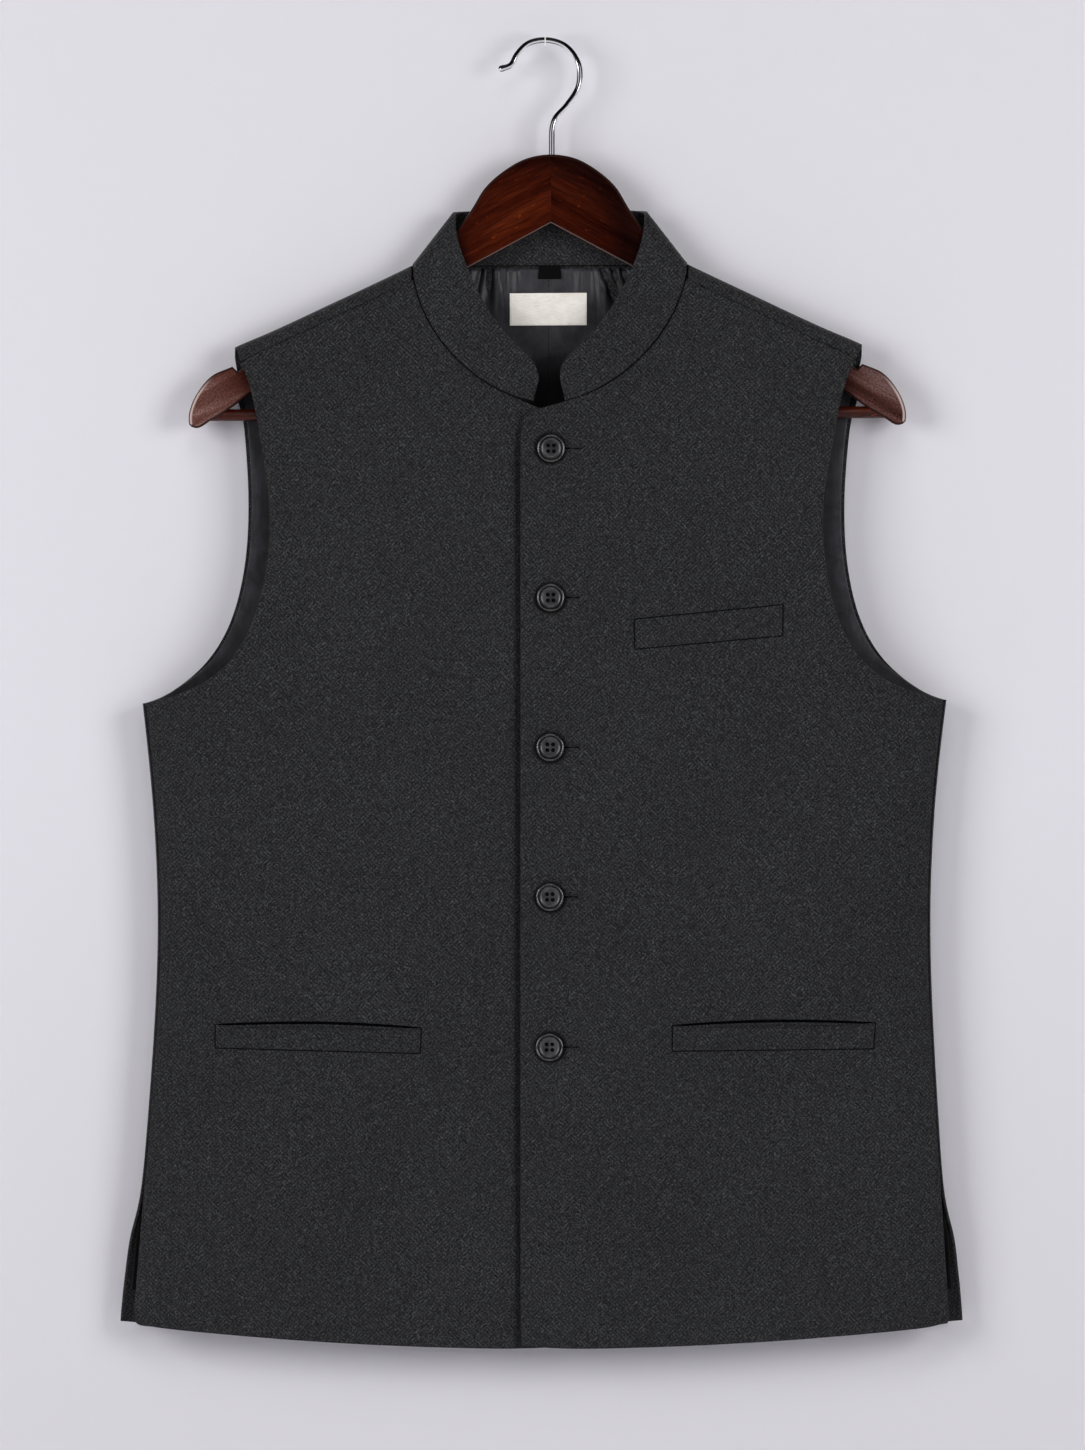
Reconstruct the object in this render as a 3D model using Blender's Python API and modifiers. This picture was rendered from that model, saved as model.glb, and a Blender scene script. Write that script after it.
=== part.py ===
"""A sleeveless Nehru waistcoat, buttoned up and hanging on a wooden hanger with a wire hook.

The inner crown of the hook is at the origin. +X is the viewer's right, +Y points away from the
viewer and +Z is up. Left and right in the names are the wearer's.
"""

import math
from collections import namedtuple

import bmesh
import bpy
import numpy as np
from mathutils import Matrix, Vector

# Cloth walls and the gap kept at every seam.
FRONT_WALL = 0.0022
BACK_WALL = 0.0015
LINING_WALL = 0.0009
COLLAR_WALL = 0.0024
WELT_WALL = 0.0012
LABEL_WALL = 0.0006
SEAM_GAP = 0.0003
LAID_GAP = 0.0004
SIDE_SEAM_GAP = 0.0008
SIDE_DEPTH = 0.0180
NORMAL_STEP = 0.0005

# Half of the garment's plan section, as a share of its half width and of its depth.
SECTION_POWER = 10
SEAM_ANGLE = math.radians(-12.7)
VENT_ANGLE = math.radians(12.0)
VENT_EASE_START = 0.0100
VENT_EASE_HEIGHT = 0.0500
SHARP_ANGLE = math.radians(38)

# Heights of the garment, from the crown of the hook.
NECK_POINT_HEIGHT = -0.1370
UNDERARM_HEIGHT = -0.4085
VENT_HEIGHT = -0.7210
HEM_SIDE_HEIGHT = -0.7930
HEM_CENTRE_HEIGHT = -0.8080
BACK_HEM_RISE = 0.0020
TILT = 0.0045
TILT_FADE = 0.8
TILT_FADE_HEIGHT = 0.3500

BodyRow = namedtuple("BodyRow", "height centre front_half back_half")
BODY = (
    BodyRow(-0.1370, 0.0027, 0.3050, 0.3050),
    BodyRow(-0.2400, 0.0010, 0.2800, 0.2800),
    BodyRow(-0.3300, 0.0002, 0.2580, 0.2580),
    BodyRow(-0.4085, -0.0006, 0.2500, 0.2500),
    BodyRow(-0.4445, -0.0009, 0.2455, 0.2455),
    BodyRow(-0.5000, -0.0009, 0.2412, 0.2412),
    BodyRow(-0.5470, -0.0009, 0.2399, 0.2399),
    BodyRow(-0.5930, -0.0010, 0.2412, 0.2412),
    BodyRow(-0.6305, -0.0012, 0.2434, 0.2434),
    BodyRow(-0.6680, -0.0015, 0.2461, 0.2461),
    BodyRow(-0.7210, -0.0020, 0.2495, 0.2502),
    BodyRow(-0.7366, -0.0021, 0.2504, 0.2553),
    BodyRow(-0.7579, -0.0023, 0.2513, 0.2584),
    BodyRow(-0.8080, -0.0026, 0.2540, 0.2620),
)

DepthRow = namedtuple("DepthRow", "drop front back")
DEPTHS = (
    DepthRow(0.000, 0.0098, 0.0098),
    DepthRow(0.010, 0.0098, 0.0098),
    DepthRow(0.040, 0.0128, 0.0120),
    DepthRow(0.087, 0.0165, 0.0145),
    DepthRow(0.150, 0.0195, 0.0162),
    DepthRow(0.270, 0.0210, 0.0175),
    DepthRow(0.420, 0.0195, 0.0168),
    DepthRow(0.550, 0.0180, 0.0158),
    DepthRow(0.680, 0.0165, 0.0150),
)

# Shoulder: the ridge runs from the neck point to the tip, and the cloth rolls over it.
NECK_HALF = 0.0860
TIP_HALF = 0.1937
SHOULDER_DROP = 0.0512
SHOULDER_HOLLOW = 0.0010
RIDGE_SOFTNESS = 0.0200
ROLL = 0.0098
BACK_NECK_DEPTH = 0.0125
BACK_NECK_DIP = 0.0010
BACK_NECK_REACH = 0.0350
NECK_PLAN_POWER = 8

# Neckline, a superellipse below the neck points.
NECK_DROP = 0.0870
NECK_POWER = 1.75

# Armhole edges, from the underarm to the shoulder tip: half width against height. The first
# points, up to the corner, end the panel's outer columns, and the others are its side edge.
ArmholePoint = namedtuple("ArmholePoint", "half height")
ARMHOLE_CORNER = 2
FRONT_ARMHOLE = (
    ArmholePoint(0.2486, -0.4085),
    ArmholePoint(0.2300, -0.4040),
    ArmholePoint(0.2100, -0.3955),
    ArmholePoint(0.1955, -0.3845),
    ArmholePoint(0.1840, -0.3660),
    ArmholePoint(0.1748, -0.3360),
    ArmholePoint(0.1712, -0.2960),
    ArmholePoint(0.1765, -0.2520),
    ArmholePoint(0.1850, -0.2170),
    ArmholePoint(0.1937, -0.1983),
)
BACK_ARMHOLE = (
    ArmholePoint(0.2488, -0.4085),
    ArmholePoint(0.2370, -0.4045),
    ArmholePoint(0.2250, -0.3975),
    ArmholePoint(0.2093, -0.3825),
    ArmholePoint(0.1975, -0.3630),
    ArmholePoint(0.1888, -0.3330),
    ArmholePoint(0.1852, -0.2900),
    ArmholePoint(0.1868, -0.2550),
    ArmholePoint(0.1905, -0.2200),
    ArmholePoint(0.1937, -0.1983),
)

# Front closing: the wearer's left front laps over the right one.
LAP_EDGE = -0.0156
LAP_TOP_HEIGHT = -0.2275
LAP_CORNER = 0.0090
UNDERLAP_EDGE = 0.0200
UNDERLAP_FALL = 0.0010
LAP_LIFT = 0.0015
LAP_SINK = 0.0012
LAP_FADE = 0.0500
LAP_FADE_START = 0.0040
HEM_CORNER = 0.0050

# Collar: a band that stands on the neckline.
COLLAR_TOP_HALF = 0.0605
COLLAR_TOP_HEIGHT = -0.1040
COLLAR_TOP_DROP = 0.0960
COLLAR_TOP_POWER = 1.5
COLLAR_TOP_ROLL = 0.0165
COLLAR_BACK_RISE = 0.0040
COLLAR_BACK_DEPTH = 0.0115
COLLAR_CORNER = 0.0090
COLLAR_END_SEAM = 0.0095
COLLAR_END_TOP = 0.0070
COLLAR_FRONT_LENGTH = 0.1150
COLLAR_LEAN = 0.0003
COLLAR_FOOT_GAP = 0.0009

# Grid counts. A thin last row or column at each seam keeps the walls' rims square to the cloth.
SIDE_ROWS = 7
VENT_ROWS = 4
LOW_ROWS = SIDE_ROWS + VENT_ROWS
EDGE_ROWS = 5
CORNER_ROWS = 2
NECK_ROWS = 10
FRONT_HIGH_ROWS = EDGE_ROWS + CORNER_ROWS + NECK_ROWS + 1
EDGE_ROWS_SHARE = 0.46
BACK_HIGH_ROWS = 13
ROLL_ROWS = 3
FRONT_MAIN_COLUMNS = 10
FRONT_SIDE_COLUMNS = 5
THIN_SHARE = 0.004
THIN_SIDE_SHARE = 0.03
THIN_SEAM_SHARE = 0.05
THIN_NECK_SHARE = 0.08
CURVE_STEPS = 60
ARMHOLE_SPAN_STEPS = 5
NECK_COLUMNS = 5
SHOULDER_COLUMNS = 5
TURN_COLUMNS = 6
COLLAR_ROLL_STATIONS = 4
COLLAR_ROWS = 4
COLLAR_END_SHARES = (0.0, 0.01, 0.03, 0.06)
WELT_COLUMNS = 8
LABEL_COLUMNS = 4
LINING_INSET = 2
LINING_EDGE_INSET = 0.10
LINING_SHORT_ROWS = 2

Welt = namedtuple("Welt", "name side inner_x outer_x inner_height outer_height width")
WELTS = (
    Welt("chest_pocket_welt", 1, 0.0552, 0.1471, -0.3667, -0.3580, 0.0186),
    Welt("left_pocket_welt", 1, 0.0789, 0.2037, -0.6170, -0.6160, 0.0150),
    Welt("right_pocket_welt", -1, -0.0773, -0.2045, -0.6190, -0.6165, 0.0150),
)

BUTTON_HEIGHTS = (-0.2517, -0.3441, -0.4368, -0.5295, -0.6225)
BUTTON_X_TOP = 0.0034
BUTTON_X_BOTTOM = 0.0024
BUTTON_RADIUS = 0.00875
BUTTON_STEPS = 16
BUTTON_HOLE_RADIUS = 0.0012
BUTTON_HOLE_OFFSET = 0.0018
BUTTON_HOLE_SIDES = 8
ProfilePoint = namedtuple("ProfilePoint", "radius height")
BUTTON_PROFILE = (
    ProfilePoint(0.0, 0.0022),
    ProfilePoint(0.0058, 0.0022),
    ProfilePoint(0.0067, 0.0032),
    ProfilePoint(0.0079, 0.0032),
    ProfilePoint(BUTTON_RADIUS, 0.0021),
    ProfilePoint(0.0080, 0.0003),
    ProfilePoint(0.0050, 0.0),
    ProfilePoint(0.0, 0.0),
)

# Neck label and size tab, on the inside of the back lining.
LABEL_WIDTH = 0.0478
LABEL_HEIGHT = 0.0200
LABEL_TOP = -0.1549
TAB_WIDTH = 0.0130
TAB_HEIGHT = 0.0078
TAB_TOP = -0.1387
TAB_TAPER = 0.08
LABEL_X = 0.0014

# Hanger.
HANGER_X = 0.0011
HANGER_NECK_SHIFT = 0.0022
HANGER_SHIFT_REACH = 0.2000
HANGER_THICKNESS = 0.0110
HANGER_ROUNDING = 0.0030
MITRE_X = 0.0039
BAR_RADIUS = 0.0037
BAR_HEIGHT = -0.2297
BAR_HALF = 0.2130
BAR_SIDES = 16
BAR_SOCKET_CLEARANCE = 0.0003
BAR_SOCKET_INSET = 0.0300
WIRE_RADIUS = 0.00175
SHANK_TOP = -0.0590
SHANK_END = -0.0895

HANGER_TILT = Matrix(((1, 0, 0, 0), (0, 1, 0, 0), (TILT, 0, 1, 0), (0, 0, 0, 1)))

OutlinePoint = namedtuple("OutlinePoint", "reach height corner")
ARM_OUTLINE = (
    OutlinePoint(-0.0080, -0.0695, True),
    OutlinePoint(0.0028, -0.0690, False),
    OutlinePoint(0.0170, -0.0713, False),
    OutlinePoint(0.0300, -0.0790, False),
    OutlinePoint(0.0405, -0.0893, False),
    OutlinePoint(0.0530, -0.1045, False),
    OutlinePoint(0.0690, -0.1290, False),
    OutlinePoint(0.0780, -0.1392, False),
    OutlinePoint(0.0860, -0.1425, False),
    OutlinePoint(0.0960, -0.1459, False),
    OutlinePoint(0.1200, -0.1569, False),
    OutlinePoint(0.1500, -0.1721, False),
    OutlinePoint(0.1780, -0.1890, False),
    OutlinePoint(0.1905, -0.2020, True),
    OutlinePoint(0.1955, -0.2010, False),
    OutlinePoint(0.2080, -0.2083, False),
    OutlinePoint(0.2175, -0.2190, False),
    OutlinePoint(0.2222, -0.2310, False),
    OutlinePoint(0.2195, -0.2382, False),
    OutlinePoint(0.2120, -0.2362, False),
    OutlinePoint(0.1850, -0.2170, False),
    OutlinePoint(0.0510, -0.1390, False),
    OutlinePoint(0.0028, -0.1110, True),
    OutlinePoint(-0.0080, -0.1110, True),
)

HookPoint = namedtuple("HookPoint", "x height")
HOOK_ROUTE = (
    HookPoint(-0.0273, -0.0154),
    HookPoint(-0.0218, -0.0134),
    HookPoint(-0.0178, -0.0071),
    HookPoint(-0.0111, -0.0007),
    HookPoint(0.0000, 0.0018),
    HookPoint(0.0118, -0.0016),
    HookPoint(0.0202, -0.0126),
    HookPoint(0.0205, -0.0261),
    HookPoint(0.0134, -0.0379),
    HookPoint(0.0055, -0.0474),
    HookPoint(0.0041, -0.0530),
    HookPoint(0.0039, -0.0600),
    HookPoint(0.0039, -0.0690),
    HookPoint(0.0039, -0.0890),
)


def clear_scene():
    for old in list(bpy.data.objects):
        bpy.data.objects.remove(old, do_unlink=True)


def new_collection(name):
    collection = bpy.data.collections.new(name)
    bpy.context.scene.collection.children.link(collection)
    return collection


def make_material(name, colour, roughness, metallic=0.0):
    material = bpy.data.materials.new(name)
    material.use_nodes = True
    shader = material.node_tree.nodes["Principled BSDF"]
    shader.inputs["Base Color"].default_value = (*colour, 1.0)
    shader.inputs["Roughness"].default_value = roughness
    shader.inputs["Metallic"].default_value = metallic
    return material


def add_object(name, mesh, material, collection):
    mesh.materials.clear()
    mesh.materials.append(material)
    obj = bpy.data.objects.new(name, mesh)
    collection.objects.link(obj)
    return obj


def smooth(x, stations, values):
    """A smooth curve through (stations, values), held flat past both ends."""
    stations = np.asarray(stations, float)
    values = np.asarray(values, float)
    if stations[0] > stations[-1]:
        stations = stations[::-1]
        values = values[::-1]
    x = min(max(x, stations[0]), stations[-1])
    slopes = np.gradient(values, stations)
    i = min(int(np.searchsorted(stations, x, side="right")) - 1, len(stations) - 2)
    step = stations[i + 1] - stations[i]
    t = (x - stations[i]) / step
    rise = t * t * (3 - 2 * t)
    start_bend = t * (1 - t) ** 2 * step
    end_bend = t * t * (t - 1) * step
    blend = values[i] * (1 - rise) + values[i + 1] * rise
    return blend + slopes[i] * start_bend + slopes[i + 1] * end_bend


def ease(t):
    t = min(max(t, 0.0), 1.0)
    return t * t * (3 - 2 * t)


def spline_points(knots, per_span):
    """Points of a smooth curve through the knots, as a list of arrays."""
    knots = np.asarray(knots, float)
    lengths = np.linalg.norm(np.diff(knots, axis=0), axis=1)
    stations = np.concatenate([[0.0], np.cumsum(lengths)])
    wanted = np.linspace(0.0, stations[-1], per_span * len(lengths) + 1)
    return [np.array([smooth(s, stations, axis) for axis in knots.T]) for s in wanted]


def along(points, share):
    """The point at a share of a polyline's length."""
    points = np.asarray(points, float)
    lengths = np.linalg.norm(np.diff(points, axis=0), axis=1)
    stations = np.concatenate([[0.0], np.cumsum(lengths)])
    return [float(np.interp(share * stations[-1], stations, axis)) for axis in points.T]


def body(column, height):
    return smooth(height, [row.height for row in BODY], [getattr(row, column) for row in BODY])


def depth(column, drop):
    return smooth(drop, [row.drop for row in DEPTHS], [getattr(row, column) for row in DEPTHS])


def superellipse(half, fall, power, angle):
    """A point of a superellipse's lower quarter, as (sideways, down): angle 0 is the side."""
    across = half * math.cos(angle) ** (2 / power)
    down = fall * math.sin(angle) ** (2 / power)
    return across, down


def ridge_height(reach):
    """Height of the shoulder's ridge at a distance from the garment's centre line."""
    t = (reach - NECK_HALF) / (TIP_HALF - NECK_HALF)
    return NECK_POINT_HEIGHT - SHOULDER_DROP * t - 4 * SHOULDER_HOLLOW * t * (1 - t)


def drop_below_ridge(reach, height):
    past = reach - NECK_HALF
    run = (past + math.hypot(past, RIDGE_SOFTNESS)) / 2
    slope = SHOULDER_DROP / (TIP_HALF - NECK_HALF)
    return NECK_POINT_HEIGHT - slope * run - height


def side_share(reach, half):
    return math.sqrt(max(0.0, 1 - (reach / half) ** SECTION_POWER))


def lap_shift(side, x):
    """How far a front stands out, or falls back, where the two fronts lap."""
    if side > 0:
        return LAP_LIFT * (1 - ease((x - UNDERLAP_EDGE - LAP_FADE_START) / LAP_FADE))
    return -LAP_SINK * ease((x - LAP_EDGE + LAP_FADE) / LAP_FADE)


def front_depth(side, x, height):
    """How far the outer face of a front stands before the hanger's middle plane."""
    reach = abs(x - body("centre", height))
    full = depth("front", drop_below_ridge(reach, height))
    return full * side_share(reach, body("front_half", height)) + lap_shift(side, x)


def front_point(side, x, height, out=0.0):
    """A point of a front's outer face, moved out along the face's normal."""
    step = NORMAL_STEP
    across = front_depth(side, x + step, height) - front_depth(side, x - step, height)
    up = front_depth(side, x, height + step) - front_depth(side, x, height - step)
    normal = Vector((-across, -2 * step, -up)).normalized()
    point = Vector((x, -front_depth(side, x, height), height)) + normal * out
    return tilted(point)


def tilted(point):
    """The hanger's small tilt, which fades out towards the hem."""
    fade = 1 - TILT_FADE * ease((UNDERARM_HEIGHT - point.z) / TILT_FADE_HEIGHT)
    return Vector((point.x, point.y, point.z + TILT * point.x * fade))


def back_top(reach):
    """(height, depth) of the back panel's top: the neck, then the shoulder's ridge."""
    if reach >= NECK_HALF:
        return ridge_height(reach), 0.0
    share = math.sqrt(1 - (reach / NECK_HALF) ** NECK_PLAN_POWER)
    return NECK_POINT_HEIGHT - BACK_NECK_DIP * share, BACK_NECK_DEPTH * share


def back_depth(reach, height, half):
    neck_reach = BACK_NECK_REACH * max(0.0, 1 - (reach / NECK_HALF) ** 2)
    full = depth("back", drop_below_ridge(reach, height) + neck_reach)
    return full * side_share(reach, half)


def back_surface(x, height):
    """Depth of the back's outer face at a place clear of the side turn."""
    reach = abs(x - body("centre", height))
    top_height, top_depth = back_top(reach)
    roll_start = top_height - ROLL
    full = back_depth(reach, min(height, roll_start), body("back_half", height))
    rise = max(0.0, height - roll_start) / ROLL
    return top_depth + (full - top_depth) * math.sqrt(max(0.0, 1 - rise * rise))


def hem_height(share, corner_distance):
    """Height of the hem, lower at the centre front, with its corners rounded."""
    height = HEM_CENTRE_HEIGHT + (HEM_SIDE_HEIGHT - HEM_CENTRE_HEIGHT) * share * share
    missing = max(0.0, 1 - corner_distance / HEM_CORNER)
    return height + HEM_CORNER * (1 - math.sqrt(1 - missing * missing))


def grid_mesh(name, columns, rows, place, keep=None, flip=False):
    """A grid primitive whose corners are put in place by their column and row."""
    mesh = bmesh.new()
    bmesh.ops.create_grid(mesh, x_segments=columns, y_segments=rows, size=0.5)
    unwanted = []
    for corner in mesh.verts:
        column = round((corner.co.x + 0.5) * columns)
        row = round((corner.co.y + 0.5) * rows)
        if keep and not keep(column, row):
            unwanted.append(corner)
            continue
        corner.co = place(column, row)
    bmesh.ops.delete(mesh, geom=unwanted, context="VERTS")
    if flip:
        bmesh.ops.reverse_faces(mesh, faces=mesh.faces)
    data = bpy.data.meshes.new(name)
    mesh.to_mesh(data)
    mesh.free()
    data.shade_smooth()
    return data


def add_wall(obj, thickness):
    """Gives an open sheet its thickness, on the side away from its normals."""
    wall = obj.modifiers.new("wall", "SOLIDIFY")
    wall.thickness = thickness
    wall.offset = -1.0
    wall.use_even_offset = False
    wall.use_rim = True


def neckline(side):
    """Even steps (x, height) of the front neckline, from the collar's end to the shoulder seam."""
    seam_height = ridge_height(NECK_HALF) - ROLL
    first = math.acos((COLLAR_END_SEAM / NECK_HALF) ** (NECK_POWER / 2))
    last = math.asin(((NECK_POINT_HEIGHT - seam_height) / NECK_DROP) ** (NECK_POWER / 2))
    curve = []
    for i in range(CURVE_STEPS + 1):
        angle = first + (last - first) * i / CURVE_STEPS
        across, down = superellipse(NECK_HALF, NECK_DROP, NECK_POWER, angle)
        height = NECK_POINT_HEIGHT - down
        curve.append((body("centre", height) + side * across, height))
    return [along(curve, i / NECK_ROWS) for i in range(NECK_ROWS + 1)]


def inner_edge(side):
    """The front's inner edge above the low rows, row by row: closing edge, corner and neckline."""
    start = FRONT_ARMHOLE[ARMHOLE_CORNER].height
    if side > 0:
        edge = LAP_EDGE
        edge_top = LAP_TOP_HEIGHT - LAP_CORNER
        turned = LAP_CORNER * (1 - math.sqrt(0.5))
        corner = [(edge + turned, LAP_TOP_HEIGHT - turned)]
        corner.append((edge + LAP_CORNER, LAP_TOP_HEIGHT))
    else:
        edge = UNDERLAP_EDGE
        edge_top = LAP_TOP_HEIGHT - UNDERLAP_FALL
        corner = [(edge / 2, edge_top), (0.0, edge_top)]
    points = [(edge, start + (edge_top - start) * i / EDGE_ROWS) for i in range(EDGE_ROWS)]
    points.append((edge, edge_top))
    neck = neckline(side)
    seam_end = neck[-1]
    thin = [end + THIN_NECK_SHARE * (before - end) for end, before in zip(seam_end, neck[-2])]
    points.extend(corner[:CORNER_ROWS - 1])
    points.append(corner[-1])
    return points + neck[1:-1] + [thin, seam_end]


def thin_last(step, count, thin=THIN_SHARE):
    """Even shares from 0 to 1, whose last step is thin."""
    return 1.0 if step == count else (1 - thin) * step / (count - 1)


def fall_share(row):
    """How far a low row lies from the armhole (0) to the hem (1)."""
    vent_share = (VENT_HEIGHT - UNDERARM_HEIGHT) / (HEM_SIDE_HEIGHT - UNDERARM_HEIGHT)
    if row >= VENT_ROWS:
        return vent_share * (LOW_ROWS - row) / SIDE_ROWS
    return 1 - (1 - vent_share) * row / VENT_ROWS


def low_top(armhole, half):
    """Height at which the low rows end: the armhole's lower curve, then level."""
    lower = armhole[:ARMHOLE_CORNER + 1]
    return smooth(half, [point.half for point in lower], [point.height for point in lower])


def upper_armhole(armhole):
    return spline_points(armhole[ARMHOLE_CORNER:], ARMHOLE_SPAN_STEPS)


def closing_edge(side):
    return LAP_EDGE if side > 0 else UNDERLAP_EDGE


def corner_share(side):
    """Share of a front's width at which its armhole's corner stands."""
    corner = FRONT_ARMHOLE[ARMHOLE_CORNER]
    centre = body("centre", corner.height)
    corner_reach = centre + side * corner.half - closing_edge(side)
    seam_reach = centre + side * FRONT_ARMHOLE[0].half - closing_edge(side)
    return corner_reach / seam_reach


def front_share(side, column):
    """Share of a front's width, from its closing edge to the side seam."""
    corner = corner_share(side)
    if column <= FRONT_MAIN_COLUMNS:
        t = max(0.0, (column - 1) / (FRONT_MAIN_COLUMNS - 1))
        thin = THIN_SHARE if column else 0.0
        return corner * (thin + (1 - thin) * t)
    t = thin_last(column - FRONT_MAIN_COLUMNS, FRONT_SIDE_COLUMNS, THIN_SIDE_SHARE)
    return corner + (1 - corner) * t


def front_low_place(side, share, fall):
    """(x, height) on a front below its armhole's corner."""
    level = UNDERARM_HEIGHT + (HEM_SIDE_HEIGHT - UNDERARM_HEIGHT) * fall
    seam_share = math.cos(SEAM_ANGLE - SIDE_SEAM_GAP / SIDE_DEPTH) ** (2 / SECTION_POWER)
    outer = body("centre", level) + side * body("front_half", level) * seam_share
    inner = closing_edge(side)
    x = inner + (outer - inner) * share
    from_edge = min(abs(x - inner), abs(outer - x))
    hem = hem_height(abs(x) / body("front_half", level), from_edge)
    centre = body("centre", UNDERARM_HEIGHT)
    at_armhole = inner + (centre + side * FRONT_ARMHOLE[0].half - inner) * share
    top = low_top(FRONT_ARMHOLE, abs(at_armhole - centre))
    return x, top + (hem - top) * fall


def front_place(side, column, row):
    """(x, height) of a front's grid corner."""
    share = front_share(side, column)
    if row <= LOW_ROWS:
        return front_low_place(side, share, fall_share(row))
    high_row = row - LOW_ROWS
    inner = inner_edge(side)[high_row]
    if high_row <= EDGE_ROWS:
        rise = EDGE_ROWS_SHARE * high_row / EDGE_ROWS
    else:
        rest = thin_last(high_row - EDGE_ROWS, FRONT_HIGH_ROWS - EDGE_ROWS)
        rise = EDGE_ROWS_SHARE + (1 - EDGE_ROWS_SHARE) * rest
    outer = along(upper_armhole(FRONT_ARMHOLE), rise)
    outer = (side * outer[0] + body("centre", outer[1]), outer[1])
    across = share / corner_share(side)
    x = inner[0] + (outer[0] - inner[0]) * across
    height = inner[1] + (outer[1] - inner[1]) * across
    seam_height = ridge_height(abs(x - body("centre", height))) - ROLL - SEAM_GAP
    if high_row == FRONT_HIGH_ROWS:
        height = seam_height
    elif high_row == FRONT_HIGH_ROWS - 1:
        height = seam_height - 3 * SEAM_GAP
    return x, height


def add_front(name, side, material, collection):
    def place(column, row):
        x, height = front_place(side, column, row)
        return front_point(side, x, height)

    def keep(column, row):
        return row <= LOW_ROWS or column <= FRONT_MAIN_COLUMNS

    columns = FRONT_MAIN_COLUMNS + FRONT_SIDE_COLUMNS
    mesh = grid_mesh(name, columns, LOW_ROWS + FRONT_HIGH_ROWS, place, keep, flip=side < 0)
    front = add_object(name, mesh, material, collection)
    add_wall(front, FRONT_WALL)


BACK_MAIN_COLUMNS = NECK_COLUMNS + SHOULDER_COLUMNS
BACK_HALF_COLUMNS = BACK_MAIN_COLUMNS + TURN_COLUMNS
BACK_ROWS = LOW_ROWS + BACK_HIGH_ROWS + ROLL_ROWS
FRONT_ROLL_ROWS = ROLL_ROWS + 1


def main_share(step):
    """Share of the back's flat width, with a step on the neck point and closer steps near it."""
    neck_share = NECK_HALF / TIP_HALF
    if step <= NECK_COLUMNS:
        return neck_share * math.sin(math.pi / 2 * step / NECK_COLUMNS)
    return neck_share + (1 - neck_share) * (step - NECK_COLUMNS) / SHOULDER_COLUMNS


def section_place(step, end_angle):
    """(width share, depth share) of the back's plan section, step by step from the centre."""
    flat_share = BACK_ARMHOLE[ARMHOLE_CORNER].half / body("back_half", UNDERARM_HEIGHT)
    if step <= BACK_MAIN_COLUMNS:
        across = flat_share * main_share(step)
        return across, side_share(across, 1.0)
    start_angle = math.acos(flat_share ** (SECTION_POWER / 2))
    turn = thin_last(step - BACK_MAIN_COLUMNS, TURN_COLUMNS, THIN_SIDE_SHARE)
    angle = start_angle + (end_angle - start_angle) * turn
    return math.cos(angle) ** (2 / SECTION_POWER), math.sin(angle)


def back_low_point(side, step, fall):
    """A point of the back below the armhole, where it turns the sides to the seams."""
    level = UNDERARM_HEIGHT + (HEM_SIDE_HEIGHT - UNDERARM_HEIGHT) * fall
    opening = ease((VENT_HEIGHT + VENT_EASE_START - level) / VENT_EASE_HEIGHT)
    across, deep = section_place(step, SEAM_ANGLE + (VENT_ANGLE - SEAM_ANGLE) * opening)
    closed_across = section_place(step, SEAM_ANGLE)[0]
    top = low_top(BACK_ARMHOLE, closed_across * body("back_half", UNDERARM_HEIGHT))
    hem = hem_height(across, 1.0) + BACK_HEM_RISE
    height = top + (hem - top) * fall
    half = body("back_half", height)
    x = body("centre", height) + side * half * across
    drop = drop_below_ridge(half * across, height)
    full = depth("back", drop) if deep > 0 else depth("front", drop)
    return Vector((x, full * deep, height))


def back_high_point(side, step, rise):
    """A point of the back above the armhole's corner, where its edge is the armhole."""
    share = main_share(step)
    edge_half, edge_height = along(upper_armhole(BACK_ARMHOLE), rise)
    corner_height = BACK_ARMHOLE[ARMHOLE_CORNER].height
    roll_start = back_top(TIP_HALF * share)[0] - ROLL
    edge_rise = (edge_height - corner_height) / (BACK_ARMHOLE[-1].height - corner_height)
    blend = rise + (edge_rise - rise) * share
    height = corner_height + (roll_start - corner_height) * blend
    x = body("centre", height) + side * edge_half * share
    return Vector((x, back_surface(x, height), height))


def back_roll_point(side, step, turn):
    """A point of the roll over the shoulder: turn 0 is behind, 1 the ridge and 2 the front seam."""
    reach = TIP_HALF * main_share(step)
    top_height, top_depth = back_top(reach)
    angle = math.pi / 2 * turn
    height = top_height - ROLL * (1 - math.sin(angle))
    x = body("centre", height) + side * reach
    if turn <= 1:
        full = back_surface(x, top_height - ROLL)
        return Vector((x, top_depth + (full - top_depth) * math.cos(angle), height))
    full = front_depth(side, x, top_height - ROLL)
    return Vector((x, full * math.cos(angle), height))


def back_point(column, row):
    step = abs(column - BACK_HALF_COLUMNS)
    side = 1 if column > BACK_HALF_COLUMNS else -1
    if row <= LOW_ROWS:
        return tilted(back_low_point(side, step, fall_share(row)))
    if row <= LOW_ROWS + BACK_HIGH_ROWS:
        return tilted(back_high_point(side, step, (row - LOW_ROWS) / BACK_HIGH_ROWS))
    if row <= BACK_ROWS:
        return tilted(back_roll_point(side, step, (row - LOW_ROWS - BACK_HIGH_ROWS) / ROLL_ROWS))
    turn = 1 + thin_last(row - BACK_ROWS, FRONT_ROLL_ROWS, THIN_SEAM_SHARE)
    return tilted(back_roll_point(side, step, turn))


def in_back(column, row):
    """The back has its side columns below the armholes, and its neck is open above."""
    step = abs(column - BACK_HALF_COLUMNS)
    if row <= LOW_ROWS:
        return True
    return step <= BACK_MAIN_COLUMNS and (row <= BACK_ROWS or step >= NECK_COLUMNS)


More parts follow.
